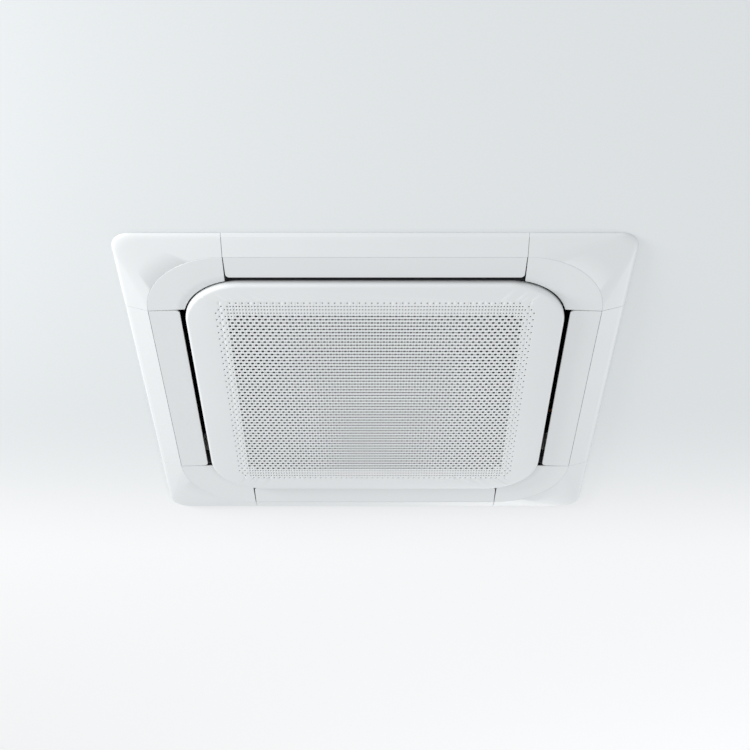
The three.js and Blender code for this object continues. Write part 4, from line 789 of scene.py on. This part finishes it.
# ---- Foam liner, gasket and drain pan ----
# Closed-cell black foam lines the casing and seals the panel; its tiny cells take up the light. The
# pan and its duct ring are moulded polystyrene, whose fused beads show as a soft grain.

foam, tree, shader, place = new_material("closed_cell_foam", 0.95)
cells_tex = add_node(tree, "ShaderNodeTexVoronoi", {"Scale": 700.0}, {"Vector": place})
tone = add_node(tree, "ShaderNodeMixRGB", {"Color1": hex_colour("1C1D1F"), "Color2": hex_colour("2C2E30")},
                {"Fac": cells_tex.outputs["Distance"]})
tree.links.new(tone.outputs["Color"], shader.inputs["Base Color"])
bump = add_node(tree, "ShaderNodeBump", {"Strength": 0.3, "Distance": 0.0005},
                {"Height": cells_tex.outputs["Distance"]})
tree.links.new(bump.outputs["Normal"], shader.inputs["Normal"])
dress(["casing_liner", "panel_gasket"], foam)

beads, tree, shader, place = new_material("expanded_polystyrene", 0.85)
bead = add_node(tree, "ShaderNodeTexVoronoi", {"Scale": 260.0}, {"Vector": place})
tone = add_node(tree, "ShaderNodeMixRGB", {"Color1": hex_colour("E2E4DF"), "Color2": hex_colour("CDD0CA")},
                {"Fac": bead.outputs["Distance"]})
tree.links.new(tone.outputs["Color"], shader.inputs["Base Color"])
bump = add_node(tree, "ShaderNodeBump", {"Strength": 0.35, "Distance": 0.0006},
                {"Height": bead.outputs["Distance"]})
tree.links.new(bump.outputs["Normal"], shader.inputs["Normal"])
dress(["drain_pan", "duct_ring"], beads)


# ---- Coil ----
# Stamped aluminium fins, about two millimetres apart, on copper hairpin tubes. Fine upright stripes
# are painted on: a painted highlight for the bright fin edges and painted shade for the gaps between them.

FIN_PITCH = 0.0022
fins, tree, shader, place = new_material("stamped_aluminium_fins", 0.38, metallic=0.9)
split = add_node(tree, "ShaderNodeSeparateXYZ", {}, {"Vector": place})
facing = add_node(tree, "ShaderNodeNewGeometry")
turned = add_node(tree, "ShaderNodeSeparateXYZ", {}, {"Vector": facing.outputs["Normal"]})
size_x = add_node(tree, "ShaderNodeMath", {"operation": "ABSOLUTE"}, {0: turned.outputs["X"]})
sideways = add_node(tree, "ShaderNodeMath", {"operation": "GREATER_THAN", 1: 0.7},
                    {0: size_x.outputs["Value"]})
along = add_node(tree, "ShaderNodeMix", {},
                 {"Factor": sideways.outputs["Value"], "A": split.outputs["X"], "B": split.outputs["Y"]})
wave = add_node(tree, "ShaderNodeMath", {"operation": "MULTIPLY", 1: 2 * math.pi / FIN_PITCH},
                {0: along.outputs["Result"]})
painted_fin_light = add_node(tree, "ShaderNodeMath", {"operation": "SINE"}, {0: wave.outputs["Value"]})
# Painted highlight on the fin edges, painted shade in the gaps between the fins.
tone = add_node(tree, "ShaderNodeMixRGB", {"Color1": hex_colour("6E7275"), "Color2": hex_colour("D5D8DA")},
                {"Fac": painted_fin_light.outputs["Value"]})
tree.links.new(tone.outputs["Color"], shader.inputs["Base Color"])
dress(["coil_fins"], fins)


def drawn_metal(name, code_a, code_b, roughness):
    """Bare metal whose thin, uneven tarnish dulls the shine in patches."""
    material, tree, shader, place = new_material(name, roughness, metallic=1.0)
    cloud = add_node(tree, "ShaderNodeTexNoise", {"Scale": 45.0, "Detail": 5.0}, {"Vector": place})
    tone = add_node(tree, "ShaderNodeMixRGB", {"Color1": hex_colour(code_a), "Color2": hex_colour(code_b)},
                    {"Fac": cloud.outputs["Fac"]})
    tree.links.new(tone.outputs["Color"], shader.inputs["Base Color"])
    return material


dress(["tube_sheet_right", "tube_sheet_back", "gas_line", "liquid_line"],
      drawn_metal("drawn_copper", "A8603C", "C78358", 0.33))
dress(["gas_flare_nut", "liquid_flare_nut"], drawn_metal("turned_brass", "B08F4C", "CBAB64", 0.3))


# ---- Fan and motors ----
# The turbo fan is a matt grey moulding with its own shroud, and a nut holds it on the motor's steel
# shaft. The bell mouth that leads the air into it is black.

dress(["turbo_fan", "fan_shroud"], plain_plastic("glass_filled_abs", "6C6F71", "77797B", 0.5), 35)
dress(["fan_motor", "fan_shaft", "fan_nut"]
      + [f"louver_motor_{s}" for s in ("front", "right", "back", "left")]
      + [f"panel_screw_{c}" for c in ("front_right", "back_right", "back_left", "front_left")],
      drawn_metal("zinc_plated_steel", "8E9295", "A6AAAD", 0.35))
dress(["bell_mouth", "float", "terminal_block"],
      plain_plastic("black_polypropylene", "1B1C1E", "232426", 0.55), 35)


# ---- Drain pump, hose and electrics ----
# The pump and the port are white mouldings and the hose is grey vinyl. The circuit board has a
# green coating with a slight gloss.

dress(["drain_pump", "drain_port", "float_guide", "catch_plunger_right", "catch_plunger_left"],
      plain_plastic("white_polypropylene", "DDE0E0", "E5E7E7", 0.5))
dress(["drain_hose"], plain_plastic("grey_vinyl", "85888A", "8F9294", 0.45))
dress(["control_board"], plain_plastic("coated_circuit_board", "24533A", "2F6446", 0.4, 300.0))
